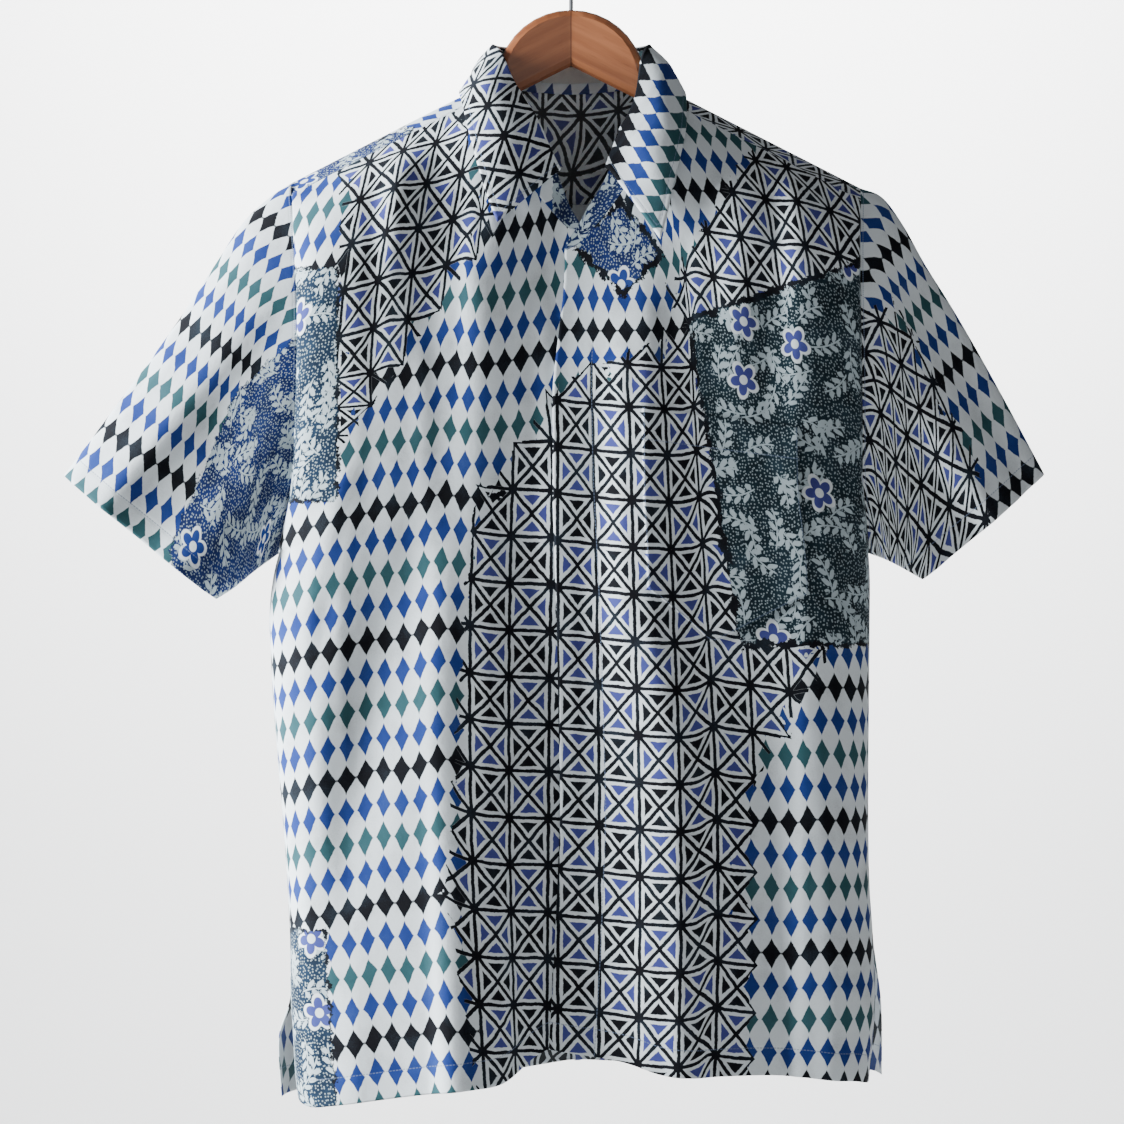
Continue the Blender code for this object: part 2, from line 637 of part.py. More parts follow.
def wall(name, outer, normals, thick, seams=(), closed=False, outwards=1):
    """A closed solid between a grid and the same grid moved in by the wall's thickness."""
    inner = outer - normals * thick
    outer, inner = (drawn_back(grid, normals, seams, closed) for grid in (outer, inner))
    rows, cols = outer.shape[:2]
    points = np.concatenate([outer.reshape(-1, 3), inner.reshape(-1, 3)]) * MM
    second = rows * cols
    faces = []
    for i in range(rows - 1):
        for j in range(cols if closed else cols - 1):
            k = (j + 1) % cols
            a, b, c, d = i * cols + j, (i + 1) * cols + j, (i + 1) * cols + k, i * cols + k
            faces += [(a, b, c), (a, c, d)]
            faces += [tuple(second + v for v in (c, b, a)), tuple(second + v for v in (d, c, a))]
    rim = []
    for j in range(cols if closed else cols - 1):
        k = (j + 1) % cols
        rim += [(k, j), ((rows - 1) * cols + j, (rows - 1) * cols + k)]
    if not closed:
        for i in range(rows - 1):
            rim += [(i * cols, (i + 1) * cols), ((i + 1) * cols + cols - 1, i * cols + cols - 1)]
    for a, b in rim:
        faces.append((b, a, second + a, second + b))
    if outwards < 0:
        faces = [tuple(reversed(f)) for f in faces]
    mesh = bpy.data.meshes.new(name)
    mesh.from_pydata([tuple(p) for p in points], [], faces)
    mesh.update()
    return mesh


# --- trimmings --------------------------------------------------------------------------

def sunk_underlap(grid):
    """The wearer's right front moved in to its layer under the fly."""
    normals = grid_normals(grid, False)
    out = grid.copy()
    for at in np.ndindex(grid.shape[:2]):
        edge = lookup(FLY_EDGE, grid[at][2])
        depth = UNDER_LAYER * float(smooth(edge - LAP_RAMP, edge - 4, grid[at][0]))
        out[at] = grid[at] - normals[at] / np.linalg.norm(normals[at]) * depth
    return out


def neckline(front_right, yoke, front_left):
    """Points of the neckline from the right front's end round the back to the left's."""
    corner = len(SIDE_STEPS) + SHOULDER_CELLS - 1
    right = front_right[0, corner:][::-1]
    behind = yoke[0, corner + 1:yoke.shape[1] - corner - 1]
    return np.concatenate([right, behind, front_left[0, corner:]]), len(right) - 1


def stand_offsets(line, corner):
    """Step from each point of the neckline to the top edge of the stand."""
    other = corner + NECK_BACK_CELLS
    offsets = np.zeros_like(line)
    for k, point in enumerate(line):
        if corner < k < other:
            part = (k - corner) / (other - corner)
            side = -1 if part < 0.5 else 1
            place = min(part, 1 - part) * NECK_BACK_CELLS
            ends = [lookup(STAND_FRONT[side], side * NECK_HALF, c) for c in (1, 2, 3)]
            ridge = (-side * STAND_SIDE[0], STAND_SIDE[1], STAND_SIDE[2])
            offsets[k] = [
                np.interp(place, (0, 2, NECK_BACK_CELLS / 2), (e, r, b))
                for e, r, b in zip(ends, ridge, STAND_BACK)
            ]
        else:
            side = -1 if k <= corner else 1
            offsets[k] = [lookup(STAND_FRONT[side], point[0], c) for c in (1, 2, 3)]
    return offsets


def stand_grid(line, corner):
    offsets = stand_offsets(line, corner)
    return np.array([line + offsets * share for share in (1.0, 0.5, 0.0)])


def leaf_edge_line(side):
    """Outer edge of one half of the leaf, from its point to the middle of the back."""
    front = [lifted(x, z, lift) for x, z, lift in LEAF_EDGE[side]]
    x, lift = LEAF_EDGE_RIDGE
    front.append((side * x, contour(x, 0), ridge_z(x) + lift))
    return front + [(side * x, y, z) for x, y, z in LEAF_EDGE_BACK]


def lifted(x, z, height):
    """A point off the front's surface, along the surface's normal."""
    across = body(x + 0.5, z, -1) - body(x - 0.5, z, -1)
    down = body(x, z - 0.5, -1) - body(x, z + 0.5, -1)
    normal = np.cross(across, -down)
    return tuple(body(x, z, -1) + normal / np.linalg.norm(normal) * height)


def leaf_grid(stand):
    """Rows from the stand's top edge over the fold to the leaf's outer edge."""
    top, line = stand[0], stand[-1]
    kept = [k for k in range(len(line))
            if line[k][1] > 0 or line[k][2] > ridge_z(NECK_HALF) - FRONT_SEAM_DROP - 0.1
            or (line[k][0] < LEAF_START[-1] if line[k][0] < 10 else line[k][0] > LEAF_START[1])]
    middle = min(kept, key=lambda k: abs(line[k][0]) + 1000 * (line[k][1] < 0))
    grid = np.zeros((len(ROLL_TURNS) + 1 + len(LEAF_SHARES), len(kept), 3))
    for n, k in enumerate(kept):
        side = -1 if k <= middle else 1
        half = kept[:kept.index(middle) + 1] if side < 0 else kept[kept.index(middle):][::-1]
        steps = [np.linalg.norm(top[a] - top[b]) for a, b in zip(half, half[1:])]
        share = sum(steps[:half.index(k)]) / sum(steps)
        edge = along(leaf_edge_line(side), share)
        course = top[min(k + 1, len(top) - 1)] - top[max(k - 1, 0)]
        out = np.cross(top[k] - line[k], course)
        out /= np.linalg.norm(out)
        up = np.cross(course, out)
        up /= np.linalg.norm(up)
        centre = top[k] + out * (ROLL_RADIUS - COLLAR_CLOTH) + up * ROLL_LIFT
        grid[0, n] = top[k] - out * COLLAR_CLOTH + up * LEAF_GAP
        for i, turn in enumerate(ROLL_TURNS):
            angle = math.radians(turn)
            grid[i + 1, n] = centre + ROLL_RADIUS * (out * math.cos(angle) + up * math.sin(angle))
        start = grid[len(ROLL_TURNS), n]
        for i, part in enumerate(LEAF_SHARES):
            fullness = 0.35 + 0.65 * min(1, share * 6)
            rise = LEAF_BULGE * fullness * math.sin(math.pi * part)
            grid[len(ROLL_TURNS) + 1 + i, n] = start + (edge - start) * part + out * rise
    return grid


def pocket_grid(front, normals):
    """Points of the front between two of its columns, moved out by a layer."""
    first, last = POCKET_CELLS
    sides = [np.interp(POCKET_MIDDLE_Z, front[::-1, j, 2], front[::-1, j, 0])
             for j in (last, first)]
    rows = []
    for share in POCKET_SHARES:
        row = []
        for j in range(first, last + 1):
            line, away = front[:, j], normals[:, j]
            part = (j - first) / (last - first)
            x = np.interp(POCKET_MIDDLE_Z, line[::-1, 2], line[::-1, 0])
            z_top = POCKET_TOP_Z[1] + (POCKET_TOP_Z[0] - POCKET_TOP_Z[1]) * part
            places = (sides[0], POCKET_POINT[0], sides[1])
            z_foot = np.interp(x, places, (POCKET_FOOT_Z[0], POCKET_POINT[1], POCKET_FOOT_Z[1]))
            z = z_top + (z_foot - z_top) * share
            at = [np.interp(z, line[::-1, 2], line[::-1, c]) for c in range(3)]
            out = np.array([np.interp(z, line[::-1, 2], away[::-1, c]) for c in range(3)])
            row.append(np.array(at) + out / np.linalg.norm(out) * (POCKET_GAP + CLOTH))
        rows.append(row)
    return np.array(rows)


def fly_grid(front, normals):
    """The fly's inner layer, behind the edge of the wearer's left front."""
    layer = front - normals * (CLOTH + SEAM_GAP)
    strip = layer[1:, -FLY_COLUMNS:].copy()
    strip[:, -1] += (strip[:, -2] - strip[:, -1]) * FLY_SETBACK
    return strip, normals[1:, -FLY_COLUMNS:]


def label_grid(stand, normals):
    """A strip on the inside of the stand at the middle of the back."""
    inner = stand - normals * (COLLAR_CLOTH + SEAM_GAP)
    middle = min(range(stand.shape[1]), key=lambda k: abs(stand[2, k][0])
                 + 1000 * (stand[2, k][1] < 0))
    near = inner[:, middle - 2:middle + 3]
    toward = normals[2, middle]
    rows = []
    for lift in (LABEL_LIFT + LABEL[1], LABEL_LIFT):
        row = []
        for x in (-LABEL[0] / 2, near[2, 1][0], near[2, 2][0], near[2, 3][0], LABEL[0] / 2):
            foot = [np.interp(x, near[2, :, 0], near[2, :, c]) for c in (1, 2)]
            top = [np.interp(x, near[0, :, 0], near[0, :, c]) for c in (1, 2)]
            share = lift / STAND_BACK[2]
            row.append((x, *(f + (t - f) * share for f, t in zip(foot, top))))
        rows.append(row)
    grid = np.array(rows)
    return grid, np.broadcast_to(toward, grid.shape)


# --- hanger -----------------------------------------------------------------------------

def wood_outline():
    """Outline from the front: hump, one arm's top, its rounded tip, the underside, the other."""
    centre = HUMP_TOP_Z - HUMP_RADIUS
    hump = [(HUMP_RADIUS * math.sin(math.radians(a)),
             centre + HUMP_RADIUS * math.cos(math.radians(a))) for a in range(-80, 81, 10)]
    points = []
    for side, reach in ((1, ARM_REACH[1]), (-1, ARM_REACH[0])):
        slope = math.atan(RIDGE_FALL)
        arm = [(side * (HUMP_RADIUS + x), arm_top_z(HUMP_RADIUS + x) - dip)
               for x, dip in ((0.6, NECK_DIP), (6, NECK_DIP), (16, 0))]
        tip_x = abs(reach) - ARM_TIP
        tip_z = arm_top_z(tip_x) - ARM_TIP / math.cos(slope)
        turn = [math.pi / 2 - slope - k * math.pi / 5 for k in range(6)]
        arm += [(side * (tip_x + ARM_TIP * math.cos(a)), tip_z + ARM_TIP * math.sin(a))
                for a in turn]
        points.append(arm)
    foot = [(0.0, UNDERSIDE_PEAK_Z)]
    return hump + points[0] + foot + points[1][::-1]


def arm_top_z(x):
    return ridge_z(x) - CLOTH / math.cos(math.atan(RIDGE_FALL)) - ARM_GAP


def build_wood(collection, skin):
    """A flat outline with rounded edges, creased at the middle, with a socket for the hook."""
    curve = bpy.data.curves.new("hanger_wood", "CURVE")
    curve.dimensions = "2D"
    curve.fill_mode = "BOTH"
    curve.extrude = (WOOD_THICK / 2 - WOOD_EDGE) * MM
    curve.bevel_depth = WOOD_EDGE * MM
    curve.bevel_resolution = 1
    curve.offset = -WOOD_EDGE * MM
    spline = curve.splines.new("POLY")
    outline = wood_outline()
    spline.points.add(len(outline) - 1)
    for point, (x, z) in zip(spline.points, outline):
        point.co = (x * MM, z * MM, 0, 1)
    spline.use_cyclic_u = True
    flat = bpy.data.objects.new("outline", curve)
    collection.objects.link(flat)
    graph = bpy.context.evaluated_depsgraph_get()
    mesh = bpy.data.meshes.new_from_object(flat.evaluated_get(graph))
    bpy.data.objects.remove(flat)
    form = bmesh.new()
    form.from_mesh(mesh)
    bmesh.ops.remove_doubles(form, verts=form.verts, dist=MERGE)
    everything = form.verts[:] + form.edges[:] + form.faces[:]
    bmesh.ops.bisect_plane(form, geom=everything, plane_co=(0, 0, 0), plane_no=(1, 0, 0))
    for vert in form.verts:
        x, z, y = vert.co
        lean = (CONTOUR[1] - CONTOUR[0]) * abs(x) / MM / SHOULDER_HALF
        vert.co = (x, -y + (CONTOUR[0] + lean) * MM, z)
    bmesh.ops.recalc_face_normals(form, faces=form.faces)
    form.to_mesh(mesh)
    form.free()
    mesh.materials.clear()
    wood = place(collection, "hanger_wood", mesh, skin, 50)

    cutters = bpy.data.collections.new("cutters")
    bpy.context.scene.collection.children.link(cutters)
    bpy.ops.mesh.primitive_cylinder_add(
        vertices=16, radius=(WIRE / 2 + SEAM_GAP) * MM, depth=2 * SHANK_SOCKET * MM,
        location=(0, 0, HUMP_TOP_Z * MM))
    drill = bpy.context.object
    drill.name = "socket_drill"
    for owner in drill.users_collection:
        owner.objects.unlink(drill)
    cutters.objects.link(drill)
    drill.hide_render = True
    drill.display_type = "WIRE"
    cut = wood.modifiers.new("socket", "BOOLEAN")
    cut.object = drill
    cut.operation = "DIFFERENCE"


def build_hook(collection, skin):
    """A wire from its socket up into a round bend, open on the wearer's right."""
    bend = HOOK_RADIUS + WIRE / 2
    foot = HUMP_TOP_Z - SHANK_SOCKET + SEAM_GAP
    course = [(0, foot), *HOOK_NECK]
    course += [(bend * math.cos(math.radians(a)), bend * math.sin(math.radians(a)) - HOOK_RADIUS)
               for a in range(-35, 205, 12)]
    curve = bpy.data.curves.new("hanger_hook", "CURVE")
    curve.dimensions = "3D"
    curve.bevel_depth = WIRE / 2 * MM
    curve.bevel_resolution = 2
    curve.use_fill_caps = True
    spline = curve.splines.new("POLY")
    spline.points.add(len(course) - 1)
    for point, (x, z) in zip(spline.points, course):
        point.co = (x * MM, CONTOUR[0] * MM, z * MM, 1)
    curve.materials.append(skin)
    hook = bpy.data.objects.new("hanger_hook", curve)
    collection.objects.link(hook)


# --- objects ----------------------------------------------------------------------------

def material(name, roughness, metallic=0.0):
    made = bpy.data.materials.new(name)
    made.use_nodes = True
    shader = made.node_tree.nodes["Principled BSDF"]
    shader.inputs["Base Color"].default_value = (*COLOURS[name], 1)
    shader.inputs["Roughness"].default_value = roughness
    shader.inputs["Metallic"].default_value = metallic
    return made


def place(collection, name, mesh, skin, sharp=40):
    thing = bpy.data.objects.new(name, mesh)
    collection.objects.link(thing)
    mesh.materials.append(skin)
    mesh.shade_smooth()
    mesh.set_sharp_from_angle(angle=math.radians(sharp))
    return thing


def angle_of(side, point):
    """Ring angle of a point of the armhole, below 0 behind the ridge."""
    angle = ring_angle(side, point[2])
    return -angle if point[1] > contour(point[0], point[2]) else angle


def ring_angles(side, front, yoke, back):
    """Angles of all the points round an armhole: up the front, over the yoke, down the back."""
    column = 0 if side < 0 else yoke.shape[1] - 1
    above = ARMPIT_Z + 0.01
    up = [angle_of(side, p) for p in front[:, 0] if p[2] > above]
    over = [angle_of(side, p) for p in yoke[1:-1, column]]
    down = [angle_of(side, p) for p in back[:, column] if p[2] > above]
    return [180.0] + up[::-1] + over + down


def build_shirt(collection, print_skin, label_skin):
    yoke = yoke_grid()
    back = back_grid(yoke)
    front = {side: front_grid(side) for side in (-1, 1)}
    sleeve = {side: sleeve_grid(side, ring_angles(side, front[side], yoke, back))
              for side in (-1, 1)}
    front[-1] = sunk_underlap(front[-1])
    line, corner = neckline(front[-1], yoke, front[1])
    stand = stand_grid(line, corner)

    # name: grid, closed round, 1 where its normals already point out, wall, edges that are seams
    sewn = {
        "yoke": (yoke, False, -1, CLOTH, ("top", "foot", "start", "end")),
        "front_right": (front[-1], False, 1, CLOTH, ("top", "start")),
        "front_left": (front[1], False, -1, CLOTH, ("top", "start")),
        "back": (back, False, -1, CLOTH, ("top", "start", "end")),
        "sleeve_right": (sleeve[-1], True, -1, CLOTH, ("top",)),
        "sleeve_left": (sleeve[1], True, 1, CLOTH, ("top",)),
        "collar_stand": (stand, False, -1, COLLAR_CLOTH, ("foot",)),
    }
    normals = shared_normals({name: row[:3] for name, row in sewn.items()})
    for name, (grid, closed, outwards, thick, seams) in sewn.items():
        mesh = wall(name, grid, normals[name], thick, seams, closed, outwards)
        place(collection, name, mesh, print_skin)

    trims = {
        "collar_leaf": (leaf_grid(stand), None, -1, COLLAR_CLOTH),
        "chest_pocket": (pocket_grid(front[1], normals["front_left"]), None, -1, CLOTH),
        "fly_strip": (*fly_grid(front[1], normals["front_left"]), -1, CLOTH),
        "neck_label": (*label_grid(stand, normals["collar_stand"]), -1, LABEL_CLOTH),
    }
    for name, (grid, away, outwards, thick) in trims.items():
        if away is None:
            away = shared_normals({name: (grid, False, outwards)})[name]
        mesh = wall(name, grid, away, thick, (), False, outwards)
        place(collection, name, mesh, label_skin if name == "neck_label" else print_skin)


def main():
    for thing in list(bpy.data.objects):
        bpy.data.objects.remove(thing)
    collection = bpy.data.collections.new("batik_shirt")
    bpy.context.scene.collection.children.link(collection)
    build_shirt(collection, material("print", 0.85), material("label", 0.7))
    build_wood(collection, material("wood", 0.45))
    build_hook(collection, material("steel", 0.25, 1.0))


main()
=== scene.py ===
"""Looks of a short-sleeved batik shirt on a contoured wooden hanger.

Tables and surface functions are in millimetres: x to the wearer's left, y to the back, z up from
the hook. Each cut piece is a grid of points worked out as whole arrays, then made a thin shell.
"""
import math
from functools import partialmethod

import bpy
import numpy as np
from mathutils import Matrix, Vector


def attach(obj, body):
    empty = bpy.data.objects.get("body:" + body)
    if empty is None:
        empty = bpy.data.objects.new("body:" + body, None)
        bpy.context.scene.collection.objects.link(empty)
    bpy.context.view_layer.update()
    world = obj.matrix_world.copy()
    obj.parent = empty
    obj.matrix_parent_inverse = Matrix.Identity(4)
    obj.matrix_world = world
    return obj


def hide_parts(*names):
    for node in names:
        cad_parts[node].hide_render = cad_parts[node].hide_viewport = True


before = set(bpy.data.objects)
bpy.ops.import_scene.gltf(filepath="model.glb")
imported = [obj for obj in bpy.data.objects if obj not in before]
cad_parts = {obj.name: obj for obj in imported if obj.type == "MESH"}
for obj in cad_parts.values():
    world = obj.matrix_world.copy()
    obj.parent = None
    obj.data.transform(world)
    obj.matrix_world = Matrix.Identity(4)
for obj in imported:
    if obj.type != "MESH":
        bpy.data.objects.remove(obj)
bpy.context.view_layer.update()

MM = 0.001
SHELL = 0.55             # cloth, through
COLLAR_SHELL = 1.0
TUCK = 2.0               # how far a piece goes under its neighbour at a seam
TUCK_DEPTH = 0.8

# --- the body's form, as in the solids ----------------------------------------------------
NECK_HALF = 64.0
RIDGE_NECK_Z = -118.4
RIDGE_FALL = 0.52
ARCH_REACH = 75.0
ARCH_POWER = 1.6
FRONT_SEAM_DROP = 12.0
BACK_SEAM_Z = (-208.0, -246.0)
DEPTH = {-1: 52.0, 1: 46.0}
SIDE_ROUND = 52.0
SIDE_CELLS = 4           # of each net, round the side
ARMHOLE_DEPTH = 35.0
ARMHOLE_POWER = 0.85
ARMPIT_Z = -480.0
SHOULDER_HALF = 215.0
CONTOUR = (0.0, -13.0)
CONTOUR_FADE = (-200.0, -430.0)
SETTLED_Z = -345.0
COLUMN = {-1: 1, 1: 2}           # of the next table, for the wearer's right and left
ARMHOLE_X = (                    # z, x on the wearer's right, x on the wearer's left
    (-480, -225, 229), (-430, -213, 222), (-345, -208, 220.5), (-260, -208, 218.5),
    (-197, -214, 221),
)
SIDE_X = (                       # z, right front, right back, left front, left back
    (-905, -209, -223, 227, 239), (-880, -212, -225, 229, 240), (-850, -214, -225, 232, 240),
    (-820, -216, -216, 234, 238.5), (-805, -216, -216, 235, 235),
    (-789, -216, -216, 233.5, 233.5), (-740, -218, -218, 230, 230),
    (-708, -220, -220, 229, 229), (-650, -225, -225, 229, 229),
    (-593, -229.5, -229.5, 229.5, 229.5), (-531, -232.5, -232.5, 230, 230),
    (-506, -231, -231, 230.5, 230.5), (-480, -225, -225, 229, 229),
)
SLIT_TOP_Z = {-1: -826.0, 1: -792.0}
SLIT_SPREAD = 7.0
SLIT_RUN = 80.0
HEM_FRONT = (                    # x, z
    (-212, -896), (-202, -901), (-150, -893), (-99, -885), (-57, -880), (-44, -874.5),
    (-34, -868), (-27, -861), (-16.8, -855), (7, -859), (42, -864), (70, -873),
    (97, -874.5), (172, -875), (213, -880), (229, -885),
)
HEM_BACK = ((-225, -899), (-150, -892), (0, -879), (150, -879), (240, -882))
FLY_EDGE = (                     # z, x
    (-853, -17), (-782, -13), (-676, -8.5), (-538, -11), (-440, -14), (-357, -14),
    (-282, -9), (-244, -5),
)
FLY_WIDTH = 35.0
UNDERLAP_TOP = 11.0
UNDERLAP_Z = (-244.0, -330.0)
LAP_RAMP = 30.0
UNDER_LAYER = 3.0
FLY_SINK = 1.5           # the fly's inner layer, in from the front
FLY_COLUMNS = 4
FLY_SETBACK = 0.13       # of a column: it ends this much short of the edge
NECK_DROP = {-1: 107.0, 1: 122.0}
NECK_POWER = {-1: 0.6, 1: 0.5}
NECK_CROWD = 1.5
BACK_NECK_Z = -121.5
UNDERLAP_CELLS = 3
CORNER = 10                      # column of the neck's corner
NECK_CELLS = {-1: 10, 1: 9}
BELOW_NECK = {-1: 127.0, 1: 125.8}
BELOW_STEP = {-1: (12.6,) * 7, 1: (12.3,) * 4 + (17.5, 17.5, 11.7, 11.6, 11.7)}
YOKE_FOOT_X = 78.0
YOKE_FOOT_STEP = 11.0
YOKE_NECK_X = (64.0, 63.4, 60.0, 50.0, 35.0, 18.0)
YOKE_ROWS, YOKE_FRONT_ROWS = 8, 2
NECK_BACK_CELLS = 14
FRONT_ROW_ANGLES = (45, 65, 85, 105, 125, 145, 163, 180)
SEAM_ROWS_Z = (-500, -528, -562, -602, -645, -690, -735, -778, -820, -850, -878)
SLEEVE_STEPS = (0.0, 0.07, 0.17, 0.3, 0.45, 0.6, 0.75, 0.88, 1.0)

# Folds and creases: x and z of each point of the course from top to bottom, then half width,
# height at the top and height at the foot
FRONT_FOLDS = (
    (-128, -172, -131, -262, 15, 5, 2), (-101, -170, -104, -310, 19, -5, -2),
    (-67, -232, -70, -400, 21, 6, 2), (-93, -470, -90, -620, -81, -895, 36, 2, 17),
    (-112, -470, -131, -520, -156, -620, -178, -708, -196, -830, 27, -3, -9),
    (-39, -400, -36, -600, -35, -870, 24, -3, -14),
    (53, -282, 52, -520, 66, -575, 77, -640, 84, -885, 27, 6, 13), (20, -380, 22, -640, 16, -3, -2),
    (128, -235, 126, -335, 19, 5, 2), (150, -205, 150, -330, 15, -4, -2),
    (174, -195, 177, -320, 19, 4, 2), (142, -590, 150, -880, 42, -4, -9),
    (196, -620, 200, -880, 24, 2, 5),
)
BACK_FOLDS = (
    (-120, -262, -112, -885, 32, 4, 12), (-60, -262, -52, -885, 30, -4, -10),
    (4, -235, 8, -885, 34, 5, 13), (66, -262, 70, -885, 30, -4, -11),
    (124, -262, 132, -885, 32, 4, 12), (-176, -500, -170, -885, 28, -3, -7),
    (182, -500, 180, -885, 28, -3, -7),
)
FRONT_CREASES = (
    (10, -470, 14, -885, 20, -3, -6), (-52, -500, -54, -885, 15, 2, 3.5),
    (-98, -480, -102, -640, -92, -885, 15, 2.5, 3), (-84, -178, -86, -330, 7, -1.6, -0.6),
    (-148, -205, -150, -330, 9, -1.6, -0.8), (-113, -330, -108, -470, 10, 1.6, 0.8),
    (-170, -420, -198, -520, 9, 1.8, 0.6), (-185, -520, -206, -640, 8, -1.5, -0.5),
    (-64, -560, -58, -880, 10, 1.2, 2.2), (-112, -640, -104, -890, 9, -1, -2.4),
    (-20, -300, -16, -460, 8, 1.4, 0.6), (38, -330, 36, -520, 7, 1.2, 0.6),
    (72, -300, 70, -420, 8, -1.6, -0.8), (98, -250, 96, -360, 8, 1.4, 0.6),
    (96, -660, 108, -880, 9, -1.4, -2.6), (58, -700, 56, -880, 8, 1, 2),
    (186, -440, 206, -560, 9, 1.8, 0.6), (212, -500, 196, -640, 8, -1.4, -0.6),
    (170, -700, 172, -880, 9, 1, 2.2),
)
BACK_CREASES = (
    (-150, -260, -140, -420, 9, -1.6, -0.8), (-90, -240, -86, -420, 9, 1.4, 0.8),
    (-24, -230, -20, -480, 8, -1.4, -0.6), (36, -230, 40, -420, 9, 1.3, 0.6),
    (96, -250, 100, -480, 8, -1.5, -0.8), (160, -260, 150, -420, 9, 1.5, 0.8),
    (-190, -440, -206, -560, 9, 1.6, 0.6), (196, -440, 210, -560, 9, 1.6, 0.6),
    (-92, -700, -86, -885, 9, -1.2, -2.4), (40, -700, 38, -885, 9, 1.2, 2.2),
    (150, -700, 158, -885, 9, -1.2, -2.2),
)

# Sleeves
SLEEVE_TOP = {
    -1: ((-214, -197), (-242, -216.5), (-259.5, -238), (-278.5, -268), (-313, -318),
         (-361, -382.5), (-389, -420)),
    1: ((221, -200), (239.5, -208), (256, -231), (272, -259.5), (291, -289.5), (328, -354),
        (363, -419)),
}
SLEEVE_UNDER = {
    -1: ((-225, -480), (-242.5, -493), (-259.5, -507), (-272, -515)),
    1: ((229, -480), (240, -484), (252, -490), (269.5, -500)),
}
SLEEVE_DEPTH = (35.0, 27.0, 24.0)
SLEEVE_FOLDS = {                 # place round the ring, half width, height midway, at the hem
    -1: ((62, 17, 5, 6), (95, 15, -4, -5), (124, 17, 5, 5), (-70, 20, 5, 6), (-112, 20, -4, -5)),
    1: ((48, 16, -4, -5), (82, 18, 7, 8), (118, 15, -5, -6), (-70, 20, 5, 6), (-112, 20, -4, -5)),
}
SLEEVE_CREASES = {               # place round the ring at top, at foot, half width, heights
    -1: ((78, 74, 6, -1.2, -1.6), (140, 146, 7, 1.4, 1.2), (40, 30, 6, 1.6, 0.8),
         (108, 110, 6, 1.2, 1.6), (-30, -38, 8, 1.4, 1.0), (-90, -92, 7, -1.2, -1.6),
         (-140, -134, 8, 1.4, 1.2)),
    1: ((66, 62, 6, 1.3, 1.4), (100, 101, 6, -1.2, -1.8), (142, 138, 7, 1.4, 1.2),
        (28, 34, 6, 1.5, 0.9), (-34, -30, 8, 1.3, 1.0), (-92, -96, 7, 1.2, 1.6),
        (-138, -142, 8, -1.4, -1.2)),
}

# Collar
STAND_FRONT = {
    -1: ((-64, 11, 12, 25), (-60, 17, 13, 23), (-50, 21.5, 9, 20.5), (-23, 12, 3, 20),
         (-10, 6, 2, 17), (0, 2, 1, 12), (8, 0, 0, 5)),
    1: ((-8, 2, 0, 5), (2, 0, 1, 11), (12, -3, 2, 16), (30, -5, 3, 20), (50, -11, 9, 25),
        (60, -9.5, 13, 22), (64, -8, 12, 25)),
}
STAND_SIDE = (4.0, 4.0, 26.0)
STAND_BACK = (0.0, -3.0, 31.5)
LEAF_START = {-1: -17.0, 1: 31.0}
LEAF_EDGE = {
    -1: ((-57.3, -233, 8), (-65.6, -206, 6.5), (-71, -185, 6), (-77, -161, 5.5),
         (-80.5, -145, 5.5)),
    1: ((66.7, -245, 8), (73, -223, 6.5), (76, -206, 6), (80.5, -188, 6), (84, -171, 6),
        (86.5, -152, 6)),
}
LEAF_EDGE_RIDGE = (85.5, 5.0)
LEAF_EDGE_BACK = ((64, 29, -131), (33, 44, -135), (0, 48.5, -136))
LEAF_BULGE = 6.5
POINT_BULGE = 0.35                   # share of it at the two points
LEAF_GAP = 0.6                       # between the stand's top edge and the leaf
LEAF_SHARES = (0.2, 0.4, 0.6, 0.8, 1.0)
COLLAR_CLOTH = 1.4                   # wall of the solid collar
ROLL_RADIUS = 2.4
ROLL_LIFT = 1.6
ROLL_TURNS = (180, 120, 60, 0)       # angles round the fold

# Pocket and label
POCKET_TOP_Z = (-370.0, -385.0)
POCKET_FOOT_Z = (-506.0, -511.0)
POCKET_POINT = (102.5, -547.5)
POCKET_MIDDLE_Z = -440.0
POCKET_CELLS = (4, 14)               # first and last column of the front that it covers
POCKET_ROWS = 6
POCKET_LIFT = 1.7                    # off the front's surface
LABEL = (46.0, 13.0)
LABEL_LIFT = 8.0                     # lower edge above the neckline
LABEL_SINK = 1.7                     # in from the stand's surface
LABEL_CELLS = 3                      # of the stand's, on both sides of the middle

# Rows of sewing: their distance from the edge, and where those down the front begin
HEM_SEWN, SLEEVE_HEM_SEWN, POCKET_MOUTH_SEWN = 20.8, 17.0, 24.0
UNDERLAP_SEWN, SLIT_SEWN, SEAM_SEWN, LEAF_SEWN, POCKET_SEWN = 3.0, 8.0, 2.0, 5.0, 1.8
FRONT_SEWN_Z = -321

# Finer rows and columns for each cell of a front's net, and of the pocket's, which match
FRONT_FINER = (14, 5)


def smooth(low, high, value):
    """0 below low, 1 above high and an S between; low may be the greater."""
    t = np.clip((np.asarray(value, float) - low) / (high - low), 0, 1)
    return t * t * (3 - 2 * t)


def lookup(table, value, column=1):
    """A column of a table read between its rows, at values of the first column."""
    rows = np.array(sorted(table), float)
    return np.interp(value, rows[:, 0], rows[:, column])


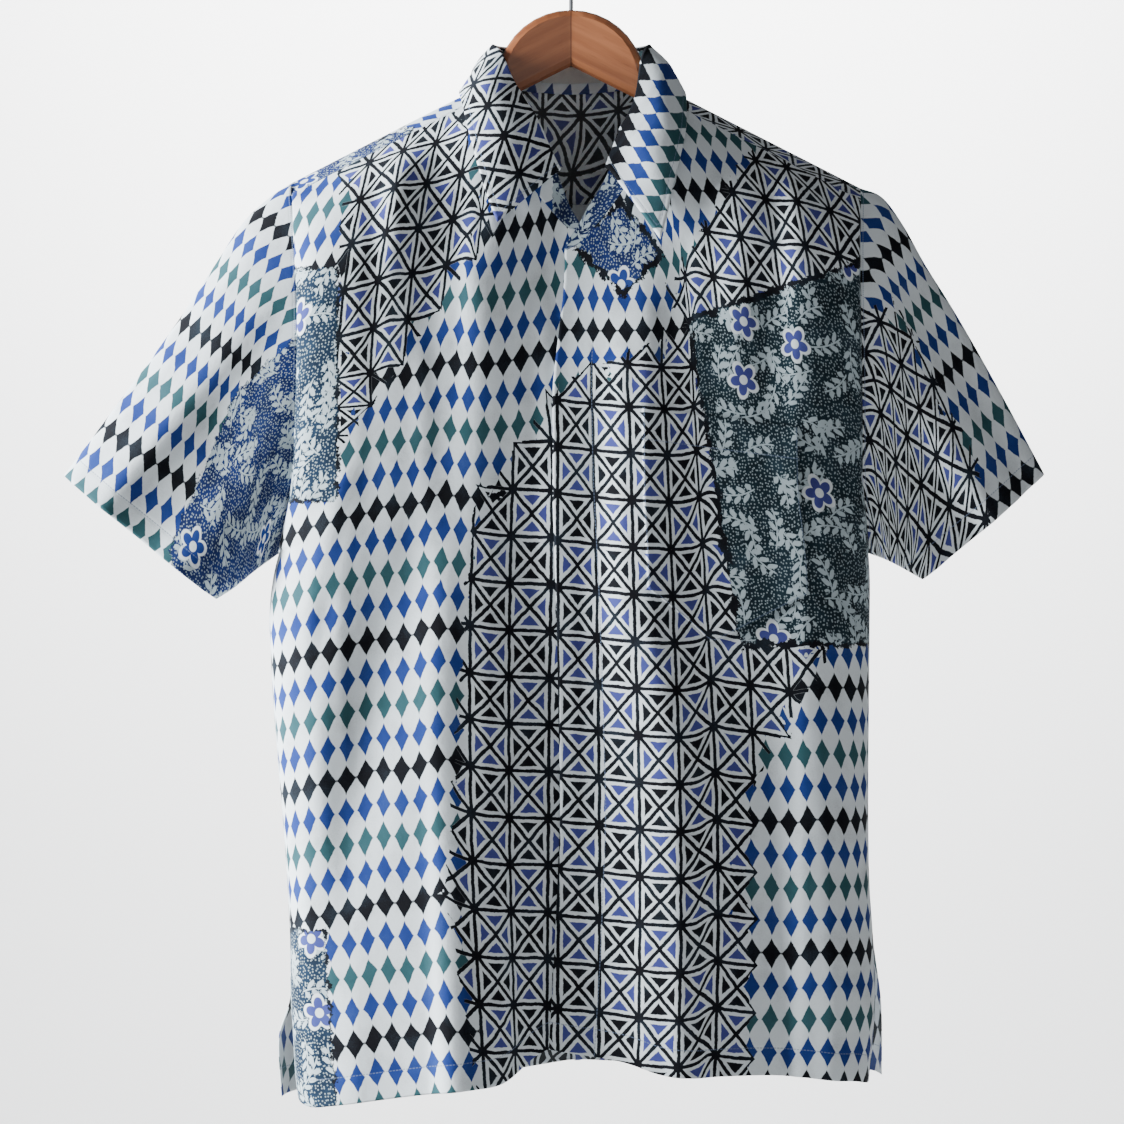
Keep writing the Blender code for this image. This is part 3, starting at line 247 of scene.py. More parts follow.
def along(points, t):
    """Points of a smooth line through the given points: a cubic between each two of them."""
    points = np.array(points, float)
    chords = np.linalg.norm(np.diff(points, axis=0), axis=1)
    place = np.concatenate([[0], np.cumsum(chords)]) / chords.sum()
    slopes = np.gradient(points, place, axis=0)
    t = np.asarray(t, float)
    i = np.clip(np.searchsorted(place, t) - 1, 0, len(points) - 2)
    span = (place[i + 1] - place[i])[..., None]
    s = (t - place[i])[..., None] / span
    return (
        (2 * s**3 - 3 * s**2 + 1) * points[i] + (s**3 - 2 * s**2 + s) * span * slopes[i]
        + (3 * s**2 - 2 * s**3) * points[i + 1] + (s**3 - s**2) * span * slopes[i + 1]
    )


def unit(vectors):
    return vectors / np.maximum(np.linalg.norm(vectors, axis=-1, keepdims=True), 1e-9)


# --- the body's surface -------------------------------------------------------------------

def ridge_z(x):
    return RIDGE_NECK_Z - RIDGE_FALL * (np.abs(x) - NECK_HALF)


def contour(x, z):
    """y of the body's middle: the hanger's arms reach forwards and the upper body follows."""
    out = np.minimum(np.abs(x) / SHOULDER_HALF, 1)
    return (CONTOUR[0] + (CONTOUR[1] - CONTOUR[0]) * out) * (1 - smooth(*CONTOUR_FADE, z))


def arch(drop):
    """Share of the full depth at a distance below the ridge: a pointed ellipse."""
    rise = np.clip(1 - drop / ARCH_REACH, 0, 1)
    return (1 - rise**ARCH_POWER) ** (1 / ARCH_POWER)


def sided(side, right, left):
    """The value of the wearer's right (-1) or left (1), for one side or an array of them."""
    return np.where(np.asarray(side) < 0, right, left)


def edge_x(side, face, z):
    """x of the edge of front (-1) or back (1) at a height: armhole above, side seam below."""
    return sided(side, *(np.where(z > ARMPIT_Z, lookup(ARMHOLE_X, z, COLUMN[s]),
                                  lookup(SIDE_X, z, s + 2 + (face > 0))) for s in (-1, 1)))


def ring_top(side):
    return ridge_z(sided(side, *ARMHOLE_X[-1][1:]))


def ring_share(side, z):
    """A height on the armhole ring: 1 at its top, -1 in the armpit."""
    top = ring_top(side)
    return np.clip((z - (top + ARMPIT_Z) / 2) / ((top - ARMPIT_Z) / 2), -1, 1)


def edge_depth(side, z):
    """Half the thickness at the edge: the armhole ring, nothing at the seam, then the slit."""
    ring = ARMHOLE_DEPTH * np.sqrt(1 - ring_share(side, z)**2) ** ARMHOLE_POWER
    slit_top = sided(side, SLIT_TOP_Z[-1], SLIT_TOP_Z[1])
    slit = SLIT_SPREAD * np.clip((slit_top - z) / SLIT_RUN, 0, 1)
    return np.where(z > ARMPIT_Z, ring, slit)


def fold_height(folds, x, z):
    """Sum of soft ridges and troughs, each a bell across its course and swelling down it."""
    total = np.zeros(np.broadcast(x, z).shape)
    for *course, half_width, at_top, at_foot in folds:
        heights = course[1::2][::-1]
        centre = np.interp(z, heights, course[::2][::-1])
        share = (heights[-1] - z) / (heights[-1] - heights[0])
        ends = smooth(-0.16, 0.1, share) * (1 - 0.75 * smooth(1.0, 1.35, share))
        size = at_top + (at_foot - at_top) * np.clip(share, 0, 1)
        total += size * ends * np.exp(-(((x - centre) / half_width) ** 2))
    return total


def body(x, z, face, side=None):
    """Points of the front (-1) or back (1): a rounded slab with an arched top, plus folds."""
    side = np.where(x < 0, -1, 1) if side is None else side
    edge = np.abs(edge_x(side, face, z))
    inwards = np.clip((edge - np.abs(x)) / SIDE_ROUND, 0, 1)
    rounding = np.sqrt(1 - (1 - inwards) ** 2)
    depth = DEPTH[face] * arch(ridge_z(x) - z)
    settled = smooth(0.1, 0.9, inwards) * smooth(10, 45, ridge_z(x) - z)
    depth = depth + fold_height(FRONT_FOLDS if face < 0 else BACK_FOLDS, x, z) * settled
    rim = edge_depth(side, z)
    y = contour(x, z) + face * (rim + (depth - rim) * rounding)
    return np.stack([x + 0 * z, y, z + 0 * x], axis=-1)


# --- nets of the cut pieces: few points each, the same as the solids' ---------------------

def ring_z(side, angle):
    top = ring_top(side)
    return (top + ARMPIT_Z) / 2 + (top - ARMPIT_Z) / 2 * np.cos(np.radians(angle))


def ring_angle(side, z):
    return np.degrees(np.arccos(ring_share(side, z)))


def armhole(side, angle):
    """Points of the armhole ring; angle 0 on top, 180 in the armpit, below 0 on the back."""
    face, z = np.where(angle < 0, 1, -1), ring_z(side, angle)
    x = lookup(ARMHOLE_X, z, COLUMN[side])
    depth = ARMHOLE_DEPTH * np.abs(np.sin(np.radians(angle))) ** ARMHOLE_POWER
    return np.stack([x, contour(x, z) + face * depth, z], axis=-1)


def neck_front(side, share):
    """x and z of the front neckline from the yoke's corner (0) to the front's end (1)."""
    end = FLY_EDGE[-1][1] if side > 0 else FLY_EDGE[-1][1] + UNDERLAP_TOP
    x = side * NECK_HALF + (end - side * NECK_HALF) * share**NECK_CROWD
    s = np.clip((NECK_HALF - side * x) / NECK_HALF, 0, 1)
    return x, ridge_z(NECK_HALF) - FRONT_SEAM_DROP - NECK_DROP[side] * s ** NECK_POWER[side]


def rounded_in(cells):
    """Distance inwards from the side after some of the cells round it."""
    return SIDE_ROUND * (1 - np.cos(np.radians(cells * 90 / SIDE_CELLS)))


def side_distances(to_corner):
    """Distances from the side inwards: round the side, then even to the neck's corner."""
    step = (to_corner - SIDE_ROUND) / (CORNER - SIDE_CELLS)
    return np.concatenate([rounded_in(np.arange(SIDE_CELLS + 1)),
                           SIDE_ROUND + step * np.arange(1, CORNER - SIDE_CELLS + 1)])


def front_end_x(side, z):
    edge = lookup(FLY_EDGE, z)
    if side > 0:
        return edge
    return edge + UNDERLAP_TOP + (FLY_WIDTH - UNDERLAP_TOP) * smooth(*UNDERLAP_Z, z)


def front_low_x(side, below, z):
    """x of each column across the hanging body, at heights z."""
    edge = edge_x(side, -1, z)
    if side > 0:
        return edge - below / below[-1] * (edge - front_end_x(side, z))
    lap = below[-1] - FLY_WIDTH
    fly = lookup(FLY_EDGE, z)
    under = fly + (below - lap) / FLY_WIDTH * (front_end_x(side, z) - fly)
    return np.where(below <= lap + 0.01, edge + below / lap * (fly - edge), under)


def front_net(side):
    """A front: rows from yoke and neckline to hem, columns from the side to the front edge."""
    edge_top = abs(ARMHOLE_X[-1][COLUMN[side]])
    neck_x, neck_z = neck_front(side, np.arange(1, NECK_CELLS[side] + 1) / NECK_CELLS[side])
    shoulder = side * (edge_top - side_distances(edge_top - NECK_HALF))
    x_top = np.concatenate([shoulder, neck_x])
    z_top = np.concatenate([ridge_z(shoulder) - FRONT_SEAM_DROP, neck_z])
    steps = BELOW_STEP[side] + (() if side > 0 else (FLY_WIDTH / UNDERLAP_CELLS,) * UNDERLAP_CELLS)
    below = np.concatenate([side_distances(BELOW_NECK[side]),
                            BELOW_NECK[side] + np.cumsum(steps)])
    top = ring_top(side) - FRONT_SEAM_DROP
    edge_rows = np.array([top, *ring_z(side, np.array(FRONT_ROW_ANGLES)), *SEAM_ROWS_Z,
                          HEM_FRONT[0 if side < 0 else -1][1]])
    share = ((edge_rows - top) / (edge_rows[-1] - top))[:, None]
    hem = lookup(HEM_FRONT, front_low_x(side, below, np.full_like(below, HEM_FRONT[0][1])))
    z = z_top + share * (hem - z_top)
    z[:, 0] = edge_rows
    x = x_top + (front_low_x(side, below, z) - x_top) * smooth(z_top, SETTLED_Z, z)
    x[:, 0] = edge_x(side, -1, z[:, 0])
    return body(x, z, -1, side)


def yoke_net():
    """The yoke: rows from its front seam or the neckline to the back seam, columns across."""
    halves = []
    front_root = -math.sqrt(FRONT_SEAM_DROP)
    for side in (-1, 1):
        edge_top = abs(ARMHOLE_X[-1][COLUMN[side]])
        edge_foot = abs(float(edge_x(side, 1, BACK_SEAM_Z[1])))
        behind = np.array(YOKE_NECK_X[2:] + (0.0,))
        neck = BACK_NECK_Z + (RIDGE_NECK_Z - BACK_NECK_Z) * (behind / NECK_HALF) ** 3
        start = np.concatenate([edge_top - side_distances(edge_top - NECK_HALF),
                                YOKE_NECK_X, [0.0]])
        root = np.concatenate([np.full(CORNER + 1, front_root), [front_root / 2, 0.0],
                               np.sqrt(ridge_z(behind) - neck)])
        inner = YOKE_FOOT_X - YOKE_FOOT_STEP * np.arange(1, len(YOKE_NECK_X) + 1)
        foot = np.concatenate([edge_foot - side_distances(edge_foot - YOKE_FOOT_X), inner, [0.0]])
        drop = BACK_SEAM_Z[0] + (BACK_SEAM_Z[1] - BACK_SEAM_Z[0]) * (foot / SHOULDER_HALF) ** 2
        end = np.sqrt(ridge_z(foot) - drop)
        end[0] = math.sqrt(ring_top(side) - BACK_SEAM_Z[1])
        pivot = np.where(root < -0.01, 0, root + (end - root) * 0.2)
        i = np.arange(YOKE_ROWS + 1)[:, None]
        place = np.where(i < YOKE_FRONT_ROWS, root + (pivot - root) * i / YOKE_FRONT_ROWS,
                         pivot + (end - pivot) * (i - YOKE_FRONT_ROWS)
                         / (YOKE_ROWS - YOKE_FRONT_ROWS))
        x = side * (start + (foot - start) * i / YOKE_ROWS)
        z = ridge_z(x) - place**2
        z[:, 0] = ring_top(side) - place[:, 0] ** 2
        x[:, 0] = edge_x(side, 1, z[:, 0])
        halves.append(np.where((place < 0)[..., None], body(x, z, -1, side), body(x, z, 1, side)))
    return np.concatenate([halves[0], halves[1][:, ::-1][:, 1:]], axis=1)


def back_net(yoke):
    """The back: rows from the yoke's seam to the hem, columns across from right to left."""
    top = yoke[-1]
    last = len(top) - 1
    columns = []
    for j in range(last + 1):
        side = -1 if j < last / 2 else 1
        from_side = min(j, last - j)
        ring = [a for a in FRONT_ROW_ANGLES if a > ring_angle(1, BACK_SEAM_Z[1]) + 8]
        foot_x = edge_x(side, 1, HEM_BACK[0][1])
        rows = np.array([BACK_SEAM_Z[1], *ring_z(side, np.array(ring)), *SEAM_ROWS_Z,
                         lookup(HEM_BACK, foot_x)])
        across = abs(top[j, 0]) / abs(top[0 if side < 0 else -1, 0])
        hem = lookup(HEM_BACK, across * foot_x)
        z = top[j, 2] + (rows - rows[0]) / (rows[-1] - rows[0]) * (hem - top[j, 2])
        z = rows if from_side == 0 else z
        edge = np.abs(edge_x(side, 1, z))
        low = edge - rounded_in(from_side) if from_side <= SIDE_CELLS else edge * across
        x = abs(top[j, 0]) + (low - abs(top[j, 0])) * smooth(top[j, 2], SETTLED_Z, z)
        points = body(side * (edge if from_side == 0 else x), z, 1, side)
        points[0] = top[j]
        columns.append(points)
    return np.stack(columns, axis=1)


def sleeve_net(side, ring):
    """A sleeve: rows from armhole to hem, columns once round from a list of ring angles."""
    t = np.array(SLEEVE_STEPS)
    turn, face = np.radians(np.abs(ring)), np.where(ring < 0, 1, -1)

    def tube(t, line_t):
        top, under = along(SLEEVE_TOP[side], line_t), along(SLEEVE_UNDER[side], line_t)
        top, under = top[:, None], under[:, None]
        flat = (top + under) / 2 + (top - under) / 2 * np.cos(turn)[None, :, None]
        depth = np.interp(t, (0, 0.45, 1), SLEEVE_DEPTH)[:, None]
        thick = depth * np.sin(turn) ** ARMHOLE_POWER
        for place, half_width, at_middle, at_hem in SLEEVE_FOLDS[side]:
            size = np.interp(t, (0, 0.25, 0.5, 1), (0, 0.5 * at_middle, at_middle, at_hem))
            thick = thick + size[:, None] * np.exp(-(((ring - place) / half_width) ** 2))
        return np.stack([flat[..., 0], CONTOUR[1] * 0.6 + face * thick, flat[..., 1]], axis=-1)

    start = tube(np.zeros(1), np.zeros(1))
    return tube(t, t) + (armhole(side, ring)[None] - start) * ((1 - t) ** 2)[:, None, None]


def ring_angles(side, front, yoke, back):
    """Angles of the points round an armhole: up the front, over the yoke, down the back."""
    column = 0 if side < 0 else -1
    line = np.concatenate([front[:, 0][front[:, 0, 2] > ARMPIT_Z + 0.01][::-1],
                           yoke[1:-1, column],
                           back[:, column][back[:, column, 2] > ARMPIT_Z + 0.01]])
    angle = ring_angle(side, line[:, 2])
    behind = line[:, 1] > contour(line[:, 0], line[:, 2])
    return np.concatenate([[180.0], np.where(behind, -angle, angle)])


def sunk_underlap(net):
    """The wearer's right front moved in to its layer under the fly."""
    normals = grid_normals(net, 1)
    edge = lookup(FLY_EDGE, net[..., 2])
    depth = UNDER_LAYER * smooth(edge - LAP_RAMP, edge - 4, net[..., 0])
    return net - normals * depth[..., None]


def stand_net(right, yoke, left):
    """The stand: rows from its top edge to its foot on the neckline, columns round the neck."""
    line = np.concatenate([right[0, CORNER:][::-1], yoke[0, CORNER + 1:-CORNER - 1],
                           left[0, CORNER:]])
    corner = right.shape[1] - CORNER - 1
    k = np.arange(len(line)) - corner
    place = np.minimum(k, NECK_BACK_CELLS - k)
    first, second = k < NECK_BACK_CELLS / 2, (k > 0) & (k < NECK_BACK_CELLS)
    offsets = np.zeros_like(line)
    for c in range(3):
        for side, mine in ((-1, first), (1, ~first)):
            ridge = -side * STAND_SIDE[0] if c == 0 else STAND_SIDE[c]
            end = float(lookup(STAND_FRONT[side], side * NECK_HALF, c + 1))
            behind = np.interp(place, (0, 2, NECK_BACK_CELLS / 2), (end, ridge, STAND_BACK[c]))
            ahead = lookup(STAND_FRONT[side], line[:, 0], c + 1)
            offsets[mine, c] = np.where(second, behind, ahead)[mine]
    return np.stack([line + offsets * share for share in (1, 0.5, 0)])


def lifted(x, z, height):
    """A point off the front's surface, along its normal."""
    x, z = np.array([float(x)]), np.array([float(z)])
    across = body(x + 0.5, z, -1) - body(x - 0.5, z, -1)
    down = body(x, z - 0.5, -1) - body(x, z + 0.5, -1)
    return (body(x, z, -1) + unit(np.cross(across, -down)) * height)[0]


def leaf_edge_line(side):
    front = [lifted(x, z, lift) for x, z, lift in LEAF_EDGE[side]]
    x, lift = LEAF_EDGE_RIDGE
    front.append(np.array((side * x, float(contour(x, 0)), float(ridge_z(x)) + lift)))
    return front + [np.array((side * x, y, z), float) for x, y, z in LEAF_EDGE_BACK]


def back_middle(line):
    """Index of the point of a line round the neck that is at the middle of the back."""
    return int(np.argmin(np.abs(line[:, 0]) + 1000 * (line[:, 1] < 0)))


def leaf_net(stand):
    """The leaf: over a round fold on the stand's top, then down in a soft bulge to its edge."""
    top, line = stand[0], stand[-1]
    ahead = (line[:, 1] <= 0) & (line[:, 2] <= ridge_z(NECK_HALF) - FRONT_SEAM_DROP - 0.1)
    inside = np.where(line[:, 0] < 10, line[:, 0] >= LEAF_START[-1], line[:, 0] <= LEAF_START[1])
    kept = ~(ahead & inside)
    course = np.empty_like(top)
    course[1:-1], course[0], course[-1] = top[2:] - top[:-2], top[1] - top[0], top[-1] - top[-2]
    out = unit(np.cross(top - line, course))
    up = unit(np.cross(course, out))
    top, out, up, line = top[kept], out[kept], up[kept], line[kept]
    middle, run = back_middle(line), lengths(top[:, None], 0)[:, 0]
    right = np.arange(len(run)) <= middle
    share = np.where(right, run / run[middle], (run[-1] - run) / (run[-1] - run[middle]))
    edge = np.where(right[:, None], along(leaf_edge_line(-1), share),
                    along(leaf_edge_line(1), share))
    centre = top + out * (ROLL_RADIUS - COLLAR_CLOTH) + up * ROLL_LIFT
    rows = [top - out * COLLAR_CLOTH + up * LEAF_GAP]
    rows += [centre + ROLL_RADIUS * (out * math.cos(a) + up * math.sin(a))
             for a in np.radians(ROLL_TURNS)]
    bulge = LEAF_BULGE * (POINT_BULGE + (1 - POINT_BULGE) * np.minimum(1, share * 6))[:, None]
    rows += [rows[4] + (edge - rows[4]) * part + out * math.sin(math.pi * part) * bulge
             for part in LEAF_SHARES]
    return np.stack(rows)


def pocket_net(front):
    """The pocket: a five-sided patch on the front, a layer out from it."""
    first, last = POCKET_CELLS
    away = grid_normals(front, -1)

    def across(z, j, values):
        line = front[::-1, j, 2]
        return np.stack([np.interp(z, line, values[::-1, j, c]) for c in range(3)], axis=-1)

    middles = [across(POCKET_MIDDLE_Z, j, front)[0] for j in range(first, last + 1)]
    columns = []
    for j, x in enumerate(middles, first):
        part = (j - first) / (last - first)
        z_top = POCKET_TOP_Z[1] + (POCKET_TOP_Z[0] - POCKET_TOP_Z[1]) * part
        z_foot = np.interp(x, (middles[-1], POCKET_POINT[0], middles[0]),
                           (POCKET_FOOT_Z[0], POCKET_POINT[1], POCKET_FOOT_Z[1]))
        z = z_top + (z_foot - z_top) * np.linspace(0, 1, POCKET_ROWS)
        columns.append(across(z, j, front) + unit(across(z, j, away)) * POCKET_LIFT)
    return np.stack(columns, axis=1)


def fly_net(front):
    """The fly's inner layer, behind the front edge."""
    layer = front - grid_normals(front, -1) * FLY_SINK
    strip = layer[1:, -FLY_COLUMNS:].copy()
    strip[:, -1] += (strip[:, -2] - strip[:, -1]) * FLY_SETBACK
    return strip


def label_net(stand):
    """A bare strip of tape on the inside of the stand, at the middle of the back."""
    inner = stand - grid_normals(stand, -1) * LABEL_SINK
    middle = back_middle(stand[2])
    near = inner[:, middle - LABEL_CELLS:middle + LABEL_CELLS + 1]
    x = np.linspace(-LABEL[0] / 2, LABEL[0] / 2, 2 * LABEL_CELLS + 1)
    foot, top = ([np.interp(x, near[r, :, 0], near[r, :, c]) for c in (1, 2)] for r in (2, 0))
    shares = [(LABEL_LIFT + LABEL[1] * k) / STAND_BACK[2] for k in (1, 0.5, 0)]
    return np.stack([np.stack([x, *(f + (t - f) * s for f, t in zip(foot, top))], axis=-1)
                     for s in shares])


def grid_normals(grid, sign):
    """Unit normals of a grid: the cross product of its two directions."""
    down, across = np.gradient(grid, axis=0), np.gradient(grid, axis=1)
    return unit(np.cross(down, across)) * sign


# --- from net to cloth --------------------------------------------------------------------

def cubic_weights(knots, per, closed):
    """Weights of a cubic through evenly counted knots, for every one of its finer points."""
    count = knots * per if closed else (knots - 1) * per + 1
    at = np.arange(count) / per
    cell = np.minimum(np.floor(at).astype(int), knots - (1 if closed else 2))
    s = at - cell
    basis = np.stack([-s + 2 * s**2 - s**3, 2 - 5 * s**2 + 3 * s**3,
                      s + 4 * s**2 - 3 * s**3, -(s**2) + s**3], axis=1) / 2
    weights = np.zeros((count, knots))
    rows = np.arange(count)
    for k in range(4):
        column = cell + k - 1
        if closed:
            np.add.at(weights, (rows, column % knots), basis[:, k])
            continue
        low, high = column < 0, column > knots - 1
        fine = ~(low | high)
        np.add.at(weights, (rows[fine], column[fine]), basis[fine, k])
        for off, end, nxt in ((low, 0, 1), (high, knots - 1, knots - 2)):
            np.add.at(weights, (rows[off], np.full(off.sum(), end)), 2 * basis[off, k])
            np.add.at(weights, (rows[off], np.full(off.sum(), nxt)), -basis[off, k])
    return weights


def refined(net, rows_per, cols_per, closed):
    down = cubic_weights(net.shape[0], rows_per, False)
    across = cubic_weights(net.shape[1], cols_per, closed)
    return np.einsum("ai,bj,ijc->abc", down, across, net)


def with_creases(grid, creases, sign, sewn):
    """The cloth moved out or in by small creases, fading at the edges that are sewn on."""
    height = fold_height(creases, grid[..., 0], grid[..., 2])
    rows, cols = np.indices(grid.shape[:2])
    for edge, away, reach in (("top", rows, 12), ("start", cols, 8),
                              ("end", grid.shape[1] - 1 - cols, 8)):
        if edge in sewn:
            height = height * smooth(0, reach, away)
    return grid + grid_normals(grid, sign) * height[..., None]


def sleeve_creased(grid, side, ring, sign):
    """The same down a sleeve, where a crease keeps to its place round the ring."""
    rows, cols = grid.shape[:2]
    down = np.linspace(0, 1, rows)[:, None]
    knots = np.arange(len(ring) + 1) * cols / len(ring)
    angle = np.interp(np.arange(cols), knots, np.append(ring, -180.0))
    height = np.zeros((rows, cols))
    for at_top, at_foot, half_width, first, last in SLEEVE_CREASES[side]:
        off = angle - (at_top + (at_foot - at_top) * down)
        height += (first + (last - first) * down) * np.exp(-((off / half_width) ** 2))
    height *= smooth(0, 0.25, down)
    return grid + grid_normals(grid, sign) * height[..., None]


def lengths(grid, axis, start=0):
    """Length along the cloth in mm from a row or column of the grid, both ways."""
    steps = np.linalg.norm(np.diff(grid, axis=axis), axis=-1)
    total = np.insert(np.cumsum(steps, axis=axis), 0, 0, axis=axis)
    return total - np.take(total, [start], axis=axis)


def tucked(grid, sign, edges):
    """The grid with one more row or column past each named edge, going under the neighbour."""
    for edge in edges:
        axis, at, nxt = {"top": (0, 0, 1), "start": (1, 0, 1), "end": (1, -1, -2)}[edge]
        line, near = np.take(grid, at, axis=axis), np.take(grid, nxt, axis=axis)
        out = np.take(grid_normals(grid, sign), at, axis=axis)
        beyond = np.expand_dims(line + unit(line - near) * TUCK - out * TUCK_DEPTH, axis)
        grid = np.concatenate([grid, beyond] if at else [beyond, grid], axis=axis)
    return grid


def closed_up(grid, closed):
    """The grid with its first column once more at the end, where it closes to a tube."""
    return np.concatenate([grid, grid[:, :1]], axis=1) if closed else grid


def linked(name, data):
    """A new object of the scene."""
    thing = bpy.data.objects.new(name, data)
    bpy.context.scene.collection.objects.link(thing)
    return thing


def new_material(name):
    made = bpy.data.materials.new(name)
    made.use_nodes = True
    return made, made.node_tree


def cloth_piece(name, grid, sign, thick, closed, maps, skins):
    """A thin shell from a grid of points in mm; maps are named values for its surface."""
    rows, cols = grid.shape[:2]
    index = closed_up(np.arange(rows * cols).reshape(rows, cols), closed)
    quads = np.stack([index[:-1, :-1], index[1:, :-1], index[1:, 1:], index[:-1, 1:]], axis=-1)
    quads = quads.reshape(-1, 4)
    if sign < 0:
        quads = quads[:, ::-1]
    mesh = bpy.data.meshes.new(name)
    mesh.vertices.add(rows * cols)
    mesh.vertices.foreach_set("co", (grid * MM).astype(np.float32).ravel())
    mesh.loops.add(quads.size)
    mesh.loops.foreach_set("vertex_index", quads.astype(np.int32).ravel())
    mesh.polygons.add(len(quads))
    mesh.polygons.foreach_set("loop_start", np.arange(0, quads.size, 4, dtype=np.int32))
    mesh.polygons.foreach_set("loop_total", np.full(len(quads), 4, np.int32))
    mesh.update(calc_edges=True)
    mesh.validate()
    mesh.shade_smooth()
    for key, values in maps.items():
        made = mesh.attributes.new(key, "FLOAT_VECTOR", "POINT")
        values = np.pad(values, ((0, 0), (0, 0), (0, 3 - values.shape[-1])))
        made.data.foreach_set("vector", values.astype(np.float32).ravel())
    thing = linked(name, mesh)
    for skin in skins:
        mesh.materials.append(skin)
    shell = thing.modifiers.new("cloth", "SOLIDIFY")
    shell.thickness = thick * MM
    shell.offset = -1
    shell.use_rim = True
    if len(skins) > 1:
        shell.material_offset = 1
    return thing


def dressed(thing, node):
    """What the finished piece stands for, and how it hangs."""
    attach(thing, "root")
    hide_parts(node)


# --- cloth materials ------------------------------------------------------------------------

class Number:
    """A value inside a material: arithmetic on it adds the nodes that work it out."""

    def __init__(self, tree, socket):
        self.tree, self.socket = tree, socket

    def do(self, operation, *others):
        return Number(self.tree, add_node(self.tree, "Math", enumerate((self, *others)),
                                          operation=operation).outputs[0])

    __add__ = partialmethod(do, "ADD")
    __sub__ = partialmethod(do, "SUBTRACT")
    __mul__ = partialmethod(do, "MULTIPLY")
    __truediv__ = partialmethod(do, "DIVIDE")
    __mod__ = partialmethod(do, "FLOORED_MODULO")
    __abs__ = partialmethod(do, "ABSOLUTE")
    cell = partialmethod(do, "FLOOR")

    def within(self, other):
        """Distance from the middle of the cell, from -0.5 to 0.5 of it."""
        return self - self.cell() - other

    def step(self, low, high):
        """0 below low, 1 above high and an S between; low may be the greater."""
        ends = (low, high, 0, 1) if low <= high else (high, low, 1, 0)
        slots = zip(("From Min", "From Max", "To Min", "To Max"), ends)
        return Number(self.tree, add_node(self.tree, "MapRange", (("Value", self), *slots),
                                          interpolation_type="SMOOTHSTEP").outputs["Result"])


def fill(node, inputs):
    """Link each input of a node to the socket given for it, or set it to a number or colour."""
    for slot, value in inputs:
        value = value.socket if isinstance(value, Number) else value
        if isinstance(value, bpy.types.NodeSocket):
            node.id_data.links.new(value, node.inputs[slot])
        else:
            node.inputs[slot].default_value = (*value, 1) if isinstance(value, tuple) else value


def add_node(tree, kind, inputs=(), **settings):
    node = tree.nodes.new("ShaderNode" + kind)
    for key, value in settings.items():
        setattr(node, key, value)
    fill(node, inputs)
    return node


def parted(tree, vector):
    """The three numbers of a vector's socket, and the socket itself."""
    parts = add_node(tree, "SeparateXYZ", ((0, vector),))
    return [Number(tree, parts.outputs[k]) for k in range(3)] + [vector]


def read(tree, name):
    """The three numbers that a named surface attribute holds, and the attribute itself."""
    return parted(tree, add_node(tree, "Attribute", attribute_name=name).outputs["Vector"])


def noise(tree, at, scale, detail=2.0, rough=0.5):
    """Cloudy values round 0, from about -0.5 to 0.5."""
    cloud = add_node(tree, "TexNoise", (("Scale", scale), ("Detail", detail),
                                        ("Roughness", rough), ("Vector", at)))
    return Number(tree, cloud.outputs["Fac"]) - 0.5


def scattered(tree, at, pitch, loose):
    """Loosely scattered middles: step from the nearest one, its random value, its distance."""
    near = add_node(tree, "TexVoronoi", (("Scale", 1 / pitch), ("Randomness", loose),
                                         ("Vector", at)), voronoi_dimensions="2D")
    away = add_node(tree, "VectorMath", ((0, at), (1, near.outputs["Position"])),
                    operation="SUBTRACT")
    x, y, _, _ = parted(tree, away.outputs[0])
    chance = add_node(tree, "SeparateColor", ((0, near.outputs["Color"]),))
    return x, y, Number(tree, chance.outputs[0]), Number(tree, near.outputs["Distance"])


def dye(tree, amount, under, over):
    """Over laid on under by an amount from 0 to 1."""
    mix = add_node(tree, "Mix", ((0, amount), (6, under), (7, over)), data_type="RGBA")
    return Number(tree, mix.outputs[2])


def srgb(red, green, blue):
    """Screen colour from 0 to 255 as the linear numbers that a material uses."""
    return tuple(((c / 255 + 0.055) / 1.055) ** 2.4 if c > 10 else c / 3294
                 for c in (red, green, blue))


WHITE = srgb(234, 240, 243)
BLACK = srgb(13, 13, 19)
BLUE = srgb(36, 58, 128)
TEAL = srgb(48, 86, 92)
VIOLET = srgb(70, 74, 142)
GROUND = srgb(24, 44, 52)
GROUND_BLUE = srgb(28, 44, 100)
PALE_LEAF = srgb(186, 200, 205)
THREAD = srgb(120, 134, 160)


def lozenges(tree, wobble):
    """Rows of concave lozenges, tips touching, in the order black, blue, teal, blue."""
    a, b, _, _ = read(tree, "lozenge")
    a, b = a + wobble[0] * 0.16, b + wobble[1] * 0.12
    row = (b + 0.5).cell() % 4.0
    across, down = abs((a + 0.5).within(0.5)), abs((b + 0.5).within(0.5))
    first = row.do("LESS_THAN", 0.5)
    teal = (abs(row - 2.0)).do("LESS_THAN", 0.5)
    _, full, _, _ = read(tree, "hue")
    across, down = across * (full * -0.16 + 1.0), down * (full * -0.08 + 1.0)
    narrow = first * -0.30 + 2.32
    reach = (across * narrow).do("POWER", 0.92) + (down * 2.12).do("POWER", 0.92)
    mask = (reach + wobble[2] * 0.12).step(1.03, 0.93)
    link = first * down.step(0.045, 0.02) * across.step(0.34, 0.40)
    mask = mask.do("MAXIMUM", link * 0.8)
    ink = dye(tree, teal, dye(tree, first, BLUE, BLACK), TEAL)
    return dye(tree, mask, WHITE, ink)


